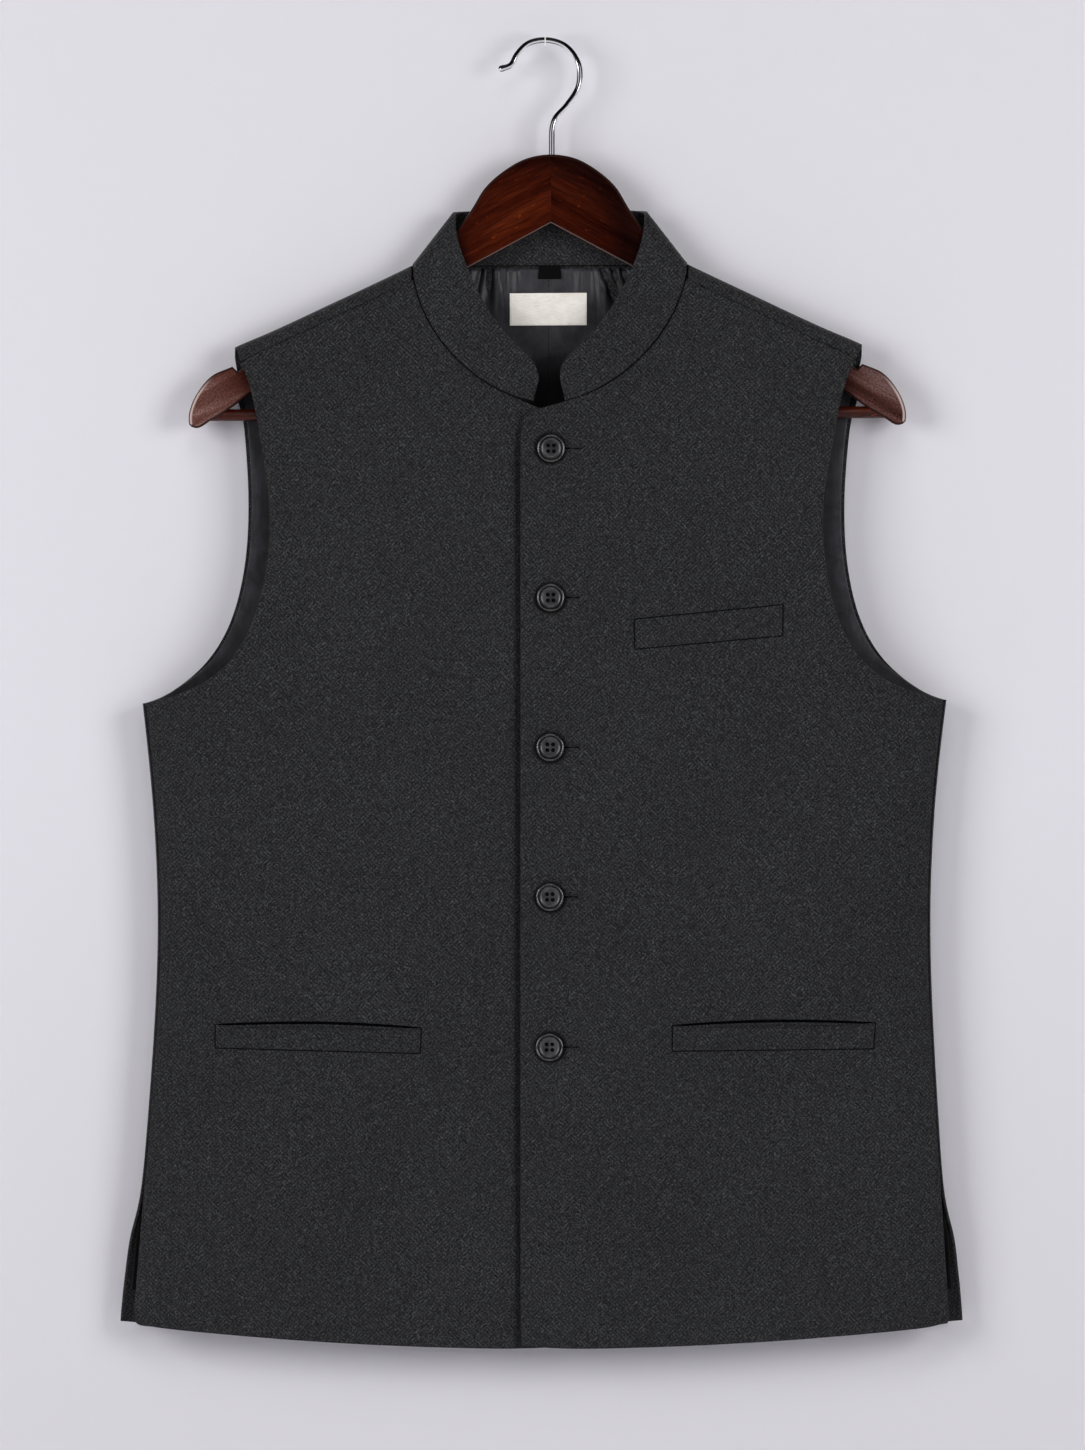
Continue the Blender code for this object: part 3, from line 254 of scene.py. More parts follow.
def woodMaterial(name, mitred):
    look = woodLook
    material, add, shader, place = startMaterial(name)
    fromArch = add("VectorMath", {0: place, 1: look["archCentre"]}, operation="DISTANCE")
    share = add("Math", {0: fromArch, 1: look["reach"]}, operation="DIVIDE")
    if mitred:
        x, y, z = add("SeparateXYZ", {0: place}).outputs
        offset = add("Math", {0: x, 1: look["mitre"]}, operation="SUBTRACT")
        reach = add("Math", {0: offset}, operation="ABSOLUTE")
        half = add("Math", {0: offset, 1: 0.0}, operation="GREATER_THAN")
        shifted = add("Math", {0: half, 1: look["otherBoard"], 2: y}, operation="MULTIPLY_ADD")
        place = add("CombineXYZ", {0: reach, 1: shifted, 2: z})
    slope = radians(-look["slope"] if mitred else 0.0)
    board = add("Mapping", {"Vector": place, "Rotation": (0.0, slope, 0.0)})
    pores = add("Mapping", {"Vector": board, "Scale": (1 / look["run"], 1 / look["pore"], 1 / look["pore"])})
    pore = add("TexNoise", {
        "Vector": pores, "Scale": 1.0, "Detail": 3.0, "Roughness": 0.6, "Distortion": 0.3})
    bands = add("Mapping", {"Vector": board, "Scale": (9.0, 1 / look["band"], 1 / look["band"])})
    band = add("TexNoise", {"Vector": bands, "Scale": 1.0, "Detail": 4.0, "Distortion": 0.8})
    level = add("Mix", {0: 0.42, 2: pore, 3: band})
    colour = add("ValToRGB", {0: level}, (
        (0.3, "#1a0502"), (0.42, "#330c03"), (0.52, "#441505"), (0.62, "#571f08"), (0.78, "#7a3612")))
    speck = add("Mapping", {"Vector": board, "Scale": (170.0, 420.0, 420.0)})
    dots = add("TexNoise", {"Vector": speck, "Scale": 1.0})
    specks = add("MapRange", {"Value": dots, "From Min": 0.66, "From Max": 0.8, "To Max": 0.75})
    flecked = add("Mix", {0: specks, 6: colour, 7: "#94401a"}, **blended)
    # painted shade: the wood is darker in a band round the neck's arch
    paintedArchShade = add("ValToRGB", {0: share}, (
        (0.1, "#ffffff"), (0.17, "#d8d0d0"), (0.215, "#857a7a"), (0.26, "#8a7e7e"), (0.6, "#e0d8d8")))
    stainedAndShaded = add("Mix", {0: 1.0, 6: flecked, 7: paintedArchShade}, **multiplied)
    speckle = add("TexNoise", {"Vector": board, "Scale": 900.0, "Detail": 3.0, "Roughness": 0.7})
    sheenMottle = add("Mix", {0: 0.5, 2: speckle, 3: band})
    paintedLight = add("ValToRGB", {0: sheenMottle}, ((0.34, "#3c231d"), (0.5, "#714c45"), (0.66, "#a68e89")))
    if mitred:  # the right half's colour and tip sheen are made a little darker
        stainedAndShaded = add("Mix", {0: half, 6: stainedAndShaded, 7: "#dad4d4"}, **multiplied)
        paintedLight = add("Mix", {0: half, 6: paintedLight, 7: "#c0babc"}, **multiplied)
    # painted sheen: towards the tips the colour blends to a paler, greyer tone
    tipSheenShare = add("MapRange", {
        "Value": share, "From Min": look["tipSheenFrom"], "From Max": look["tipSheenTo"],
        "To Max": look["paintedHighlight"] if mitred else 0.0})
    withTipSheen = add("Mix", {0: tipSheenShare, 6: stainedAndShaded, 7: paintedLight}, **blended)
    # painted shade on the rounded edges and a thin painted highlight line, both read from vertex attributes
    paintedEdgeShade = add("Attribute", attribute_name="paintedEdgeShade").outputs["Fac"]
    withEdgeShade = add("Mix", {0: paintedEdgeShade, 6: withTipSheen, 7: "#260c05"}, **blended)
    edge = add("Attribute", attribute_name="paintedHighlight").outputs["Fac"]
    shine = add("MapRange", {"Value": band, "From Min": 0.3, "From Max": 0.7, "To Min": 0.18, "To Max": 0.3})
    setInputs(shader, {
        "Base Color": add("Mix", {0: edge, 6: withEdgeShade, 7: "#c4aea8"}, **blended),
        "Roughness": add("Mix", {0: paintedEdgeShade, 2: shine, 3: 0.9}), "Specular IOR Level": 0.12 if mitred else 0.3,
        "Normal": add("Bump", {"Strength": 0.12, "Distance": 0.1 * mm, "Height": pore})})
    return material


# Chromed steel wire, a little smeared, with a painted reflection: its colour runs from white to near
# black by which way the surface faces, standing in for the dark above it and the pale floor below.
def chromeMaterial(name):
    material, add, shader, place = startMaterial(name)
    smear = add("TexNoise", {"Vector": place, "Scale": 220.0, "Detail": 4.0})
    # painted reflection: base colour set by how far the surface faces up
    paintedReflection = add("Attribute", attribute_name="paintedReflection").outputs["Fac"]
    setInputs(shader, {
        "Base Color": add("ValToRGB", {0: paintedReflection}, (
            (0.09, "#5c5c60"), (0.15, "#ffffff"), (0.42, "#f4f4f6"), (0.49, "#6a6a6e"), (0.6, "#2a2a2d"),
            (0.74, "#0e0e10"), (0.88, "#3c3c40"), (0.97, "#9a9a9e"))),
        "Roughness": add("MapRange", {
            "Value": smear, "From Min": 0.3, "From Max": 0.7, "To Min": 0.04, "To Max": 0.12}),
        "Metallic": 1.0})
    return material


# Spun polyester sewing thread: two plies, matt, with a dark twist between them.
def threadMaterial(name, dark, light, specular=0.25):
    material, add, shader, place = startMaterial(name)
    ply = add("TexNoise", {"Vector": place, "Scale": 2400.0, "Detail": 1.0})
    setInputs(shader, {
        "Base Color": add("ValToRGB", {0: ply}, ((0.4, dark), (0.6, light))), "Roughness": 0.8,
        "Specular IOR Level": specular})
    return material


# Painted plaster: almost even, cool white, with the faintest roller texture. The wall carries painted
# shade, darker towards its foot, and is clear from behind.
def wallMaterial(name, colour, oneSided=False):
    material, add, shader, place = startMaterial(name)
    grain = add("TexNoise", {"Vector": place, "Scale": 400.0})
    setInputs(shader, {
        "Base Color": colour, "Roughness": 1.0, "Specular IOR Level": 0.0,
        "Normal": add("Bump", {"Strength": 0.03, "Distance": 0.1 * mm, "Height": grain})})
    if oneSided:
        # painted shade: the wall's colour darkens towards the floor
        height = add("SeparateXYZ", {0: place}).outputs[2]
        paintedFalloff = add("MapRange", {"Value": height, "From Min": -0.86, "From Max": -0.45})
        setInputs(shader, {"Base Color": add("Mix", {0: paintedFalloff, 6: "#dbd9de", 7: colour}, **blended)})
        backFace = add("NewGeometry").outputs["Backfacing"]
        mixed = add("MixShader", {0: backFace, 1: shader, 2: add("BsdfTransparent")})
        setInputs(material.node_tree.nodes["Material Output"], {"Surface": mixed})
    return material


crepeTones = ("#0d0b10", "#18171b", "#232325", "#303131", "#484a48")
wool = woolMaterial("charcoalCrepe", crepeTones)
woolWithButtonShade = woolMaterial("charcoalCrepeButtonShade", crepeTones, paintedButtonShade=True)
# painted shade: darker wool without sheen, for tubes laid in seams and round the welts
woolShade = woolMaterial(
    "crepeSeamShade", ("#0a0a0b", "#0f0f10", "#141415", "#19191a", "#202021"), sheen=0.0, specular=0.0)
# painted shade: near-black wool for the shadowed pocket mouths and buttonhole slits
woolSlitShade = woolMaterial(
    "crepeSlitShade", ("#020202", "#040404", "#060607", "#09090a", "#0d0d0e"), sheen=0.0, specular=0.0)
satin = satinMaterial("acetateSatin", "#1d1c20", "#333137")
labelCloth = labelMaterial("wovenDamask", "#e6dfd6", "#f9f4ec")
tapeCloth = threadMaterial("blackWovenTape", "#020202", "#080809", specular=0.08)
resin = resinMaterial("polishedResin", "#0b0b0c", "#161617", 0.2, 0.3, 1.0)
resinFace = resinMaterial("satinResin", "#18181a", "#303032", 0.28, 0.4, 0.0)
mahogany = woodMaterial("varnishedMahogany", True)
mahoganyRod = woodMaterial("varnishedMahoganyRod", False)
chrome = chromeMaterial("chromedWire")
blackThread = threadMaterial("blackThread", "#08080a", "#18181b")
greyThread = threadMaterial("charcoalThread", "#1a1a1c", "#38383b")
print("materials made")


# ---- mesh helpers ----
def link(mesh, name, material):
    piece = addObject(name, mesh)
    mesh.materials.clear()
    mesh.materials.append(material)
    return piece


def finishSmooth(piece, angle=55.0):
    piece.data.shade_smooth()
    piece.data.set_sharp_from_angle(angle=radians(angle))


def pieceFrom(body, name, material, angle=None):
    if angle:
        bmesh.ops.recalc_face_normals(body, faces=body.faces)
    mesh = bpy.data.meshes.new(name)
    body.to_mesh(mesh)
    body.free()
    piece = link(mesh, name, material)
    if angle:
        finishSmooth(piece, angle)
    return piece


def evaluatedMesh(piece):
    return bpy.data.meshes.new_from_object(piece.evaluated_get(bpy.context.evaluated_depsgraph_get()))


def applied(piece):
    mesh, old = evaluatedMesh(piece), piece.data
    piece.modifiers.clear()
    piece.data = mesh
    if old.users == 0:
        bpy.data.meshes.remove(old)


def mergeDoubles(mesh, distance, turnOut=False):
    body = bmesh.new()
    body.from_mesh(mesh)
    bmesh.ops.remove_doubles(body, verts=body.verts, dist=distance)
    if turnOut:
        bmesh.ops.recalc_face_normals(body, faces=body.faces)
    body.to_mesh(mesh)
    body.free()


def countTriangles(piece):
    print(piece.name, sum(len(face.vertices) - 2 for face in piece.data.polygons), "triangles")


def treeOf(piece):
    return BVHTree.FromPolygons(
        [vertex.co.copy() for vertex in piece.data.vertices],
        [list(face.vertices) for face in piece.data.polygons])


def finderOf(points):
    finder = KDTree(len(points))
    for i, point in enumerate(points):
        finder.insert(point, i)
    finder.balance()
    return finder


def moveBy(piece, shift):
    for vertex in piece.data.vertices:
        vertex.co += shift(vertex.co)
    piece.data.update()


def finePiece(node, name, material, levels, rimWidth):
    sheet = bmesh.new()
    sheet.from_mesh(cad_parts[node].data)
    bmesh.ops.remove_doubles(sheet, verts=sheet.verts, dist=0.02 * mm)
    bmesh.ops.join_triangles(
        sheet, faces=sheet.faces[:], angle_face_threshold=radians(60),
        angle_shape_threshold=radians(120), topology_influence=1.3)
    piece = pieceFrom(sheet, name, material)
    setAll(
        piece.modifiers.new("rim", "BEVEL"), limit_method="ANGLE", angle_limit=radians(50), width=rimWidth,
        segments=2, miter_outer="MITER_ARC")
    setAll(piece.modifiers.new("refine", "SUBSURF"), levels=levels, render_levels=levels)
    applied(piece)
    countTriangles(piece)
    return piece


def tubeAlong(name, paths, radius, material, closed=False, taper=None):
    curve = setAll(
        bpy.data.curves.new(name, "CURVE"), dimensions="3D", bevel_depth=radius, bevel_resolution=2,
        use_fill_caps=not closed)
    for path in paths:
        spline = curve.splines.new("POLY")
        spline.points.add(len(path) - 1)
        spline.use_cyclic_u = closed
        for i, (knot, point) in enumerate(zip(spline.points, path)):
            knot.co = (*point, 1.0)
            knot.radius = taper(i / (len(path) - 1)) if taper else 1.0
    guide = addObject(name, curve)
    mesh = evaluatedMesh(guide)
    bpy.data.objects.remove(guide, do_unlink=True)
    mergeDoubles(mesh, 0.002 * mm, True)
    piece = link(mesh, name, material)
    mesh.shade_smooth()
    return piece


def stitchNodes():
    group = bpy.data.node_groups.new("stitchAlongPath", "GeometryNodeTree")
    add = partial(addNode, group)
    face = group.interface
    face.new_socket("path", in_out="INPUT", socket_type="NodeSocketGeometry")
    for label in ("spacing", "acrossX", "acrossY", "along"):
        face.new_socket(label, in_out="INPUT", socket_type="NodeSocketFloat")
    face.new_socket("finish", in_out="INPUT", socket_type="NodeSocketMaterial")
    face.new_socket("stitches", in_out="OUTPUT", socket_type="NodeSocketGeometry")
    start = add("NodeGroupInput").outputs
    line = add("GeometryNodeMeshToCurve", {0: start["path"]})
    spots = add("GeometryNodeCurveToPoints", {"Curve": line, "Length": start["spacing"]}, mode="LENGTH")
    stitch = add("GeometryNodeMeshUVSphere", {"Segments": 6, "Rings": 5})
    size = add("CombineXYZ", {0: start["acrossX"], 1: start["acrossY"], 2: start["along"]})
    laid = add("GeometryNodeInstanceOnPoints", {
        "Points": spots, "Instance": stitch, "Rotation": spots.outputs["Rotation"], "Scale": size})
    real = add("GeometryNodeRealizeInstances", {0: laid})
    soft = add("GeometryNodeSetShadeSmooth", {0: real})
    add("NodeGroupOutput", {0: add("GeometryNodeSetMaterial", {0: soft, "Material": start["finish"]})})
    return group


stitchTree = stitchNodes()


def stitchAlong(name, paths, spacing, size, material, closed=False):
    mesh = bpy.data.meshes.new(name)
    points, edges = [], []
    for path in paths:
        start, count = len(points), len(path)
        points.extend(tuple(point) for point in path)
        edges.extend((start + i, start + i + 1) for i in range(count - 1))
        if closed:
            edges.append((start + count - 1, start))
    mesh.from_pydata(points, edges, [])
    piece = link(mesh, name, material)
    modifier = piece.modifiers.new("stitches", "NODES")
    modifier.node_group = stitchTree
    values = {"spacing": spacing, "acrossX": size[0], "acrossY": size[1], "along": size[2], "finish": material}
    for item in stitchTree.interface.items_tree:
        if item.in_out == "INPUT" and item.name in values:
            modifier[item.identifier] = values[item.name]
    applied(piece)
    return piece


# ---- the cloth panels ----
# Each crease is a soft trough (below 0) or ridge between two places (x, z), with a half width.
creases = {
    "left": (
        (-0.01, -0.244, 0.034, -0.227, 0.0045, -0.0006),
        (0.1, -0.205, 0.135, -0.36, 0.022, -0.0009),
        (0.03, -0.46, 0.17, -0.54, 0.035, 0.0007),
        (0.05, -0.53, 0.09, -0.76, 0.026, -0.0008),
        (0.15, -0.47, 0.2, -0.69, 0.024, 0.0008),
        (0.125, -0.66, 0.14, -0.795, 0.02, 0.0009),
        (0.025, -0.3, 0.03, -0.78, 0.016, 0.0003),
    ),
    "right": (
        (-0.098, -0.205, -0.132, -0.365, 0.022, -0.0009),
        (-0.04, -0.3, -0.06, -0.6, 0.026, 0.0008),
        (-0.07, -0.43, -0.18, -0.52, 0.033, 0.0008),
        (-0.15, -0.48, -0.2, -0.7, 0.024, 0.0008),
        (-0.09, -0.65, -0.085, -0.795, 0.021, -0.0009),
        (-0.17, -0.67, -0.165, -0.79, 0.02, 0.0008),
    ),
}
creaseWaves = {"left": 3.1, "right": 7.7, "depth": 0.0005}
# The left front's edge rolls out over the right front, which dips under it.
closing = {
    "edge": -0.0156, "top": -0.226, "dip": 0.0034, "dipWidth": 0.0058, "roll": 0.0006, "rollWidth": 0.006}

# Small moves that ease the shell's edges: the armholes' upper ends are tucked in, the shoulders
# lifted, and the hem and its side corners let down.
fit = {
    "tuck": 0.004, "tuckTop": -0.199, "tuckEnd": -0.253, "tuckReach": 0.034, "shoulderX": 0.2,
    "ridge": -0.1875, "lift": 0.001, "hem": 0.0018, "hemStart": -0.7, "corner": 0.0022,
    "cornerX": 0.253, "cornerReach": 0.012, "cornerHeight": 0.02, "shoulder": 0.0012, "flare": 0.0019,
    "behindBar": 0.0028,
}


def fitShift(point):
    x, z = point.x, point.z
    inward = -1 if x > 0 else 1
    along = ease((z - fit["tuckEnd"]) / (fit["tuckTop"] - fit["tuckEnd"]))
    along *= ease((fit["ridge"] + 0.001 - z) / (fit["ridge"] - fit["tuckTop"]))
    near = ease((abs(x) - fit["shoulderX"] + fit["tuckReach"]) / fit["tuckReach"])
    frontSide = ease((0.002 - point.y) / 0.004)
    dx = inward * fit["tuck"] * along * near * frontSide
    dx -= inward * fit["behindBar"] * exp(-(((z + 0.219) / 0.011) ** 2)) * near * (1 - frontSide)
    shoulderEnd = ease((z + 0.206) / 0.012) * ease((abs(x) - 0.17) / 0.02)
    dx -= inward * fit["shoulder"] * shoulderEnd
    dx -= inward * fit["flare"] * ease((fit["hemStart"] - z) / 0.1) * ease((abs(x) - 0.17) / 0.06)
    dz = fit["lift"] * ease((abs(x) - 0.08) / 0.06) * ease((z + 0.225) / 0.03)
    dz -= fit["hem"] * ease((fit["hemStart"] - z) / 0.09)
    return Vector((dx, 0.0, dz))


def cornerShift(point):
    low = ease((-0.788 - point.z) / fit["cornerHeight"] + 0.5)
    near = ease((abs(point.x) - fit["cornerX"] + fit["cornerReach"]) / fit["cornerReach"])
    return Vector((0.0, 0.0, -fit["corner"] * low * near))


def creaseShift(x, z, side):
    total = 0.0
    for x1, z1, x2, z2, width, height in creases[side]:
        run = Vector((x2 - x1, z2 - z1))
        t = Vector((x - x1, z - z1)).dot(run) / run.length_squared
        inside = min(max(t, 0.0), 1.0)
        away = hypot(x - x1 - run.x * inside, z - z1 - run.y * inside)
        total += height * exp(-((away / width) ** 2))
    wave = noise.noise(Vector((x * 9.0, z * 6.0, creaseWaves[side])))
    return total + creaseWaves["depth"] * wave


def panelMask(x, z):
    side = ease((0.232 - abs(x)) / 0.04)
    top = ease((-0.17 - z) / 0.05)
    hem = 0.35 + 0.65 * ease((z + 0.808) / 0.04)
    return side * top * hem


def shiftFront(point, side):
    x, z = point.x, point.z
    out = creaseShift(x, z, side) * panelMask(x, z)
    if side == "left":
        edge = exp(-(((x - closing["edge"]) / closing["rollWidth"]) ** 2))
        out += closing["roll"] * edge * ease((closing["top"] - z) / 0.02)
    else:
        lap = ease((x - closing["edge"] + closing["dipWidth"]) / closing["dipWidth"])
        out -= closing["dip"] * lap * ease((closing["top"] - z) / 0.03)
    return Vector((0.0, -out, 0.0)) + fitShift(point) + cornerShift(point)


leftFront = finePiece("front_left", "leftFront", woolWithButtonShade, 3, 0.6 * mm)
rightFront = finePiece("front_right", "rightFront", wool, 3, 0.6 * mm)
backPanel = finePiece("back", "backPanel", wool, 2, 0.5 * mm)
standCollar = finePiece("collar", "standCollar", wool, 3, 0.6 * mm)
backLining = finePiece("back_lining", "backLining", satin, 2, 0.3 * mm)


# The gathered top of the lining needs a finer mesh than the rest of it.
def refineGathers():
    sheet = bmesh.new()
    sheet.from_mesh(backLining.data)
    sheet.normal_update()
    chosen = []
    for face in sheet.faces:
        middle = face.calc_center_median()
        if face.normal.y < -0.3 and abs(middle.x) < 0.078 and middle.z > -0.205:
            chosen.append(face)
    edges = {edge for face in chosen for edge in face.edges}
    bmesh.ops.subdivide_edges(sheet, edges=list(edges), cuts=6, use_grid_fill=True)
    sheet.to_mesh(backLining.data)
    sheet.free()
    backLining.data.update()
    countTriangles(backLining)


# The collar's ends are drawn together at the closing: place and shift along x of each draw.
collarEnds = (
    (-0.0066, -0.2085, 0.0024), (-0.008, -0.22, 0.0004), (0.0096, -0.207, -0.0009), (0.012, -0.222, 0.0012))


def shiftCollar(point):
    move = 0.0
    for x, z, dx in collarEnds:
        away = hypot((point.x - x) / 0.011, (point.z - z) / 0.0085)
        move += dx * exp(-away ** 2) * ease((0.0 - point.y) / 0.004)
    return Vector((move, 0.0, 0.0))


refineGathers()
moveBy(leftFront, lambda point: shiftFront(point, "left"))
moveBy(rightFront, lambda point: shiftFront(point, "right"))
moveBy(backPanel, fitShift)
moveBy(standCollar, shiftCollar)
print("panels refined")

# The lining is eased into the neck seam: uneven gathers fall from it, strongest at both sides.
gatherPlan = {
    "seam": -0.1375, "middle": 0.0014, "quiet": 0.01, "strong": 0.032, "pleat": 0.0075,
    "low": 0.0004, "high": 0.002, "length": 0.022, "deepest": 0.0036, "rise": 0.0012,
    # place along the seam, depth, width, length and lean of the strongest folds
    "folds": (
        (-0.0345, 0.003, 0.0026, 0.03, -0.1), (-0.0265, 0.0018, 0.0018, 0.022, -0.05),
        (-0.0395, 0.0024, 0.0022, 0.034, -0.18), (-0.018, 0.001, 0.0016, 0.016, 0.06),
        (0.0345, 0.0036, 0.0028, 0.036, 0.42), (0.0415, 0.0026, 0.0022, 0.03, 0.3),
        (0.048, 0.0024, 0.0022, 0.03, 0.22), (0.0225, 0.0012, 0.0016, 0.018, -0.08),
        (0.029, 0.0014, 0.0016, 0.02, 0.1)),
}


def gatherDepth(x, z):
    plan = gatherPlan
    below = max(plan["seam"] - z, 0.0)
    reach = abs(x - plan["middle"])
    strength = plan["low"] + (plan["high"] - plan["low"]) * ease(
        (reach - plan["quiet"]) / (plan["strong"] - plan["quiet"]))
    fade = exp(-((below / plan["length"]) ** 2))
    pleat = noise.noise(Vector((x / plan["pleat"], below / 0.06, 2.0)))
    fine = noise.noise(Vector((x / (0.4 * plan["pleat"]), below / 0.03, 6.0)))
    valley = strength * fade * (0.9 * (abs(pleat) - 0.25) + 0.45 * fine)
    for place, depth, width, length, lean in plan["folds"]:
        line = place + lean * below
        share = exp(-(((x - line) / (width * (0.7 + below / length))) ** 2))
        valley += depth * share * exp(-((below / length) ** 2)) * ease(below / 0.003 + 0.3)
    return valley * ease((0.095 - reach) / 0.03)


def shiftLining(point):
    plan, side = gatherPlan, abs(point.x)
    below = max(plan["seam"] - point.z, 0.0)
    fold = noise.noise(Vector((point.x * 30.0, point.z * 11.0, 5.0)))
    out = 0.0011 * fold * ease((below - 0.01) / 0.05) * ease((0.25 - side) / 0.05)
    out = max(out - gatherDepth(point.x, point.z), -plan["deepest"])
    rise = plan["rise"] * ease(below / 0.004) * ease((0.09 - side) / 0.03) * ease((0.05 - below) / 0.03)
    return Vector((0.0, -out - rise, 0.0))


moveBy(backLining, shiftLining)
for panel in (leftFront, rightFront, backPanel, standCollar, backLining):
    finishSmooth(panel)

# The lining carries painted light and shade: painted shade by the fronts' armhole edges, painted light
# further out along the armholes, painted shade deep in the closing and in the gathers' valleys.
paintedLiningLightAndShade = {
    "near": 0.0055, "far": 0.0075, "deepTop": -0.195, "deepEnd": -0.212, "deepHalf": 0.03,
    "dark": 0.75, "paintedLight": 1.55, "deep": 0.03, "vent": 0.12,
}


def paintLiningLightAndShade():
    plan = paintedLiningLightAndShade
    edge = finderOf([
        (vertex.co.x, 0.0, vertex.co.z) for front in (leftFront, rightFront) for vertex in front.data.vertices])
    layer = backLining.data.attributes.new("paintedLightAndShade", "FLOAT", "POINT")
    for vertex, value in zip(backLining.data.vertices, layer.data):
        x, z = vertex.co.x, vertex.co.z
        value.value = 1.0
        # low down, below z -0.7, the lining is made much darker
        if z < -0.7:
            value.value = plan["vent"]
        # painted shade close to the fronts' armhole edges, painted light further out
        elif abs(x) > 0.14:
            away = edge.find((x, 0.0, z))[2]
            value.value = plan["dark"] + (plan["paintedLight"] - plan["dark"]) * ease(
                (away - plan["near"]) / (plan["far"] - plan["near"]))
        # painted shade deep in the closing
        elif z < plan["deepTop"] and abs(x) < plan["deepHalf"]:
            deep = ease((plan["deepTop"] - z) / (plan["deepTop"] - plan["deepEnd"]))
            value.value = 1.0 + (plan["deep"] - 1.0) * deep
        # painted shade in the gathers' valleys
        elif abs(x) < 0.08:
            value.value = min(max(1.0 - 0.55 * gatherDepth(x, z) / 0.0016, 0.12), 1.08)


paintLiningLightAndShade()

frontTrees = {"left": treeOf(leftFront), "right": treeOf(rightFront)}
liningTree = treeOf(backLining)


# ---- laying on the cloth ----
def castOn(tree, x, z):
    place, normal, _, _ = tree.ray_cast(Vector((x, -0.2, z)), Vector((0.0, 1.0, 0.0)))
    if place is None:
        raise ValueError(f"nothing at {x}, {z}")
    return place, normal if normal.y < 0 else -normal


def pathOn(tree, places, lift):
    return [place + normal * lift for place, normal in (castOn(tree, x, z) for x, z in places)]


def laidStrip(name, tree, corner, columns, rows, profile, lift, material):
    top, low = [], []
    for j in range(rows + 1):
        for i in range(columns + 1):
            u, v = i / columns, j / rows
            place, normal = castOn(tree, *corner(u, v))
            top.append(place + normal * (lift + profile(u, v)))
            low.append(place + normal * lift)
    strip = bmesh.new()
    upper, lower = [strip.verts.new(p) for p in top], [strip.verts.new(p) for p in low]
    wide = columns + 1
    for j in range(rows):
        for i in range(columns):
            a, b, c, d = j * wide + i, j * wide + i + 1, (j + 1) * wide + i + 1, (j + 1) * wide + i
            strip.faces.new((upper[a], upper[b], upper[c], upper[d]))
            strip.faces.new((lower[d], lower[c], lower[b], lower[a]))
    rim = list(range(wide))
    rim += [j * wide + columns for j in range(1, rows + 1)]
    rim += [rows * wide + i for i in reversed(range(columns))]
    rim += [j * wide for j in reversed(range(1, rows))]
    for a, b in zip(rim, rim[1:] + rim[:1]):
        strip.faces.new((upper[a], lower[a], lower[b], upper[b]))
    return pieceFrom(strip, name, material, 60.0)


# ---- pockets ----
# Corners as (x, z): top inner, top outer, bottom inner, bottom outer. sag lowers the welt's top
# edge in the middle, and mouth raises the pocket's slit above it.
pockets = {
    "chestWelt": {
        "node": "chest_pocket_welt", "side": "left", "sag": 0.0, "mouth": 0.0,
        "corners": ((0.055, -0.3575), (0.1471, -0.3485), (0.0553, -0.376), (0.1467, -0.3677)),
        "flat": (0.0925, 0.0186), "rests": "front_left",
    },
    "leftWelt": {
        "node": "left_pocket_welt", "side": "left", "sag": 0.0022, "mouth": 0.0028,
        "corners": ((0.0786, -0.6092), (0.2042, -0.6076), (0.0786, -0.625), (0.2032, -0.6235)),
        "flat": (0.126, 0.015), "rests": "front_left",
    },
    "rightWelt": {
        "node": "right_pocket_welt", "side": "right", "sag": 0.0022, "mouth": 0.0028,
        "corners": ((-0.0771, -0.6106), (-0.2046, -0.6086), (-0.0776, -0.6264), (-0.2046, -0.623)),
        "flat": (0.126, 0.015), "rests": "front_right",
    },
}
weltShape = {
    "thickness": 0.001, "round": 0.0012, "lift": 0.00012, "lipHeight": 0.006, "lipOut": 0.001,
    "lipEnd": 0.012, "lipRound": 0.0007, "outline": 0.00046, "outlineLift": 0.0003, "mouthWidth": 0.0019,
    "mouthDepth": 0.0002, "foldDrop": 0.0026, "foldRadius": 0.0003,
}


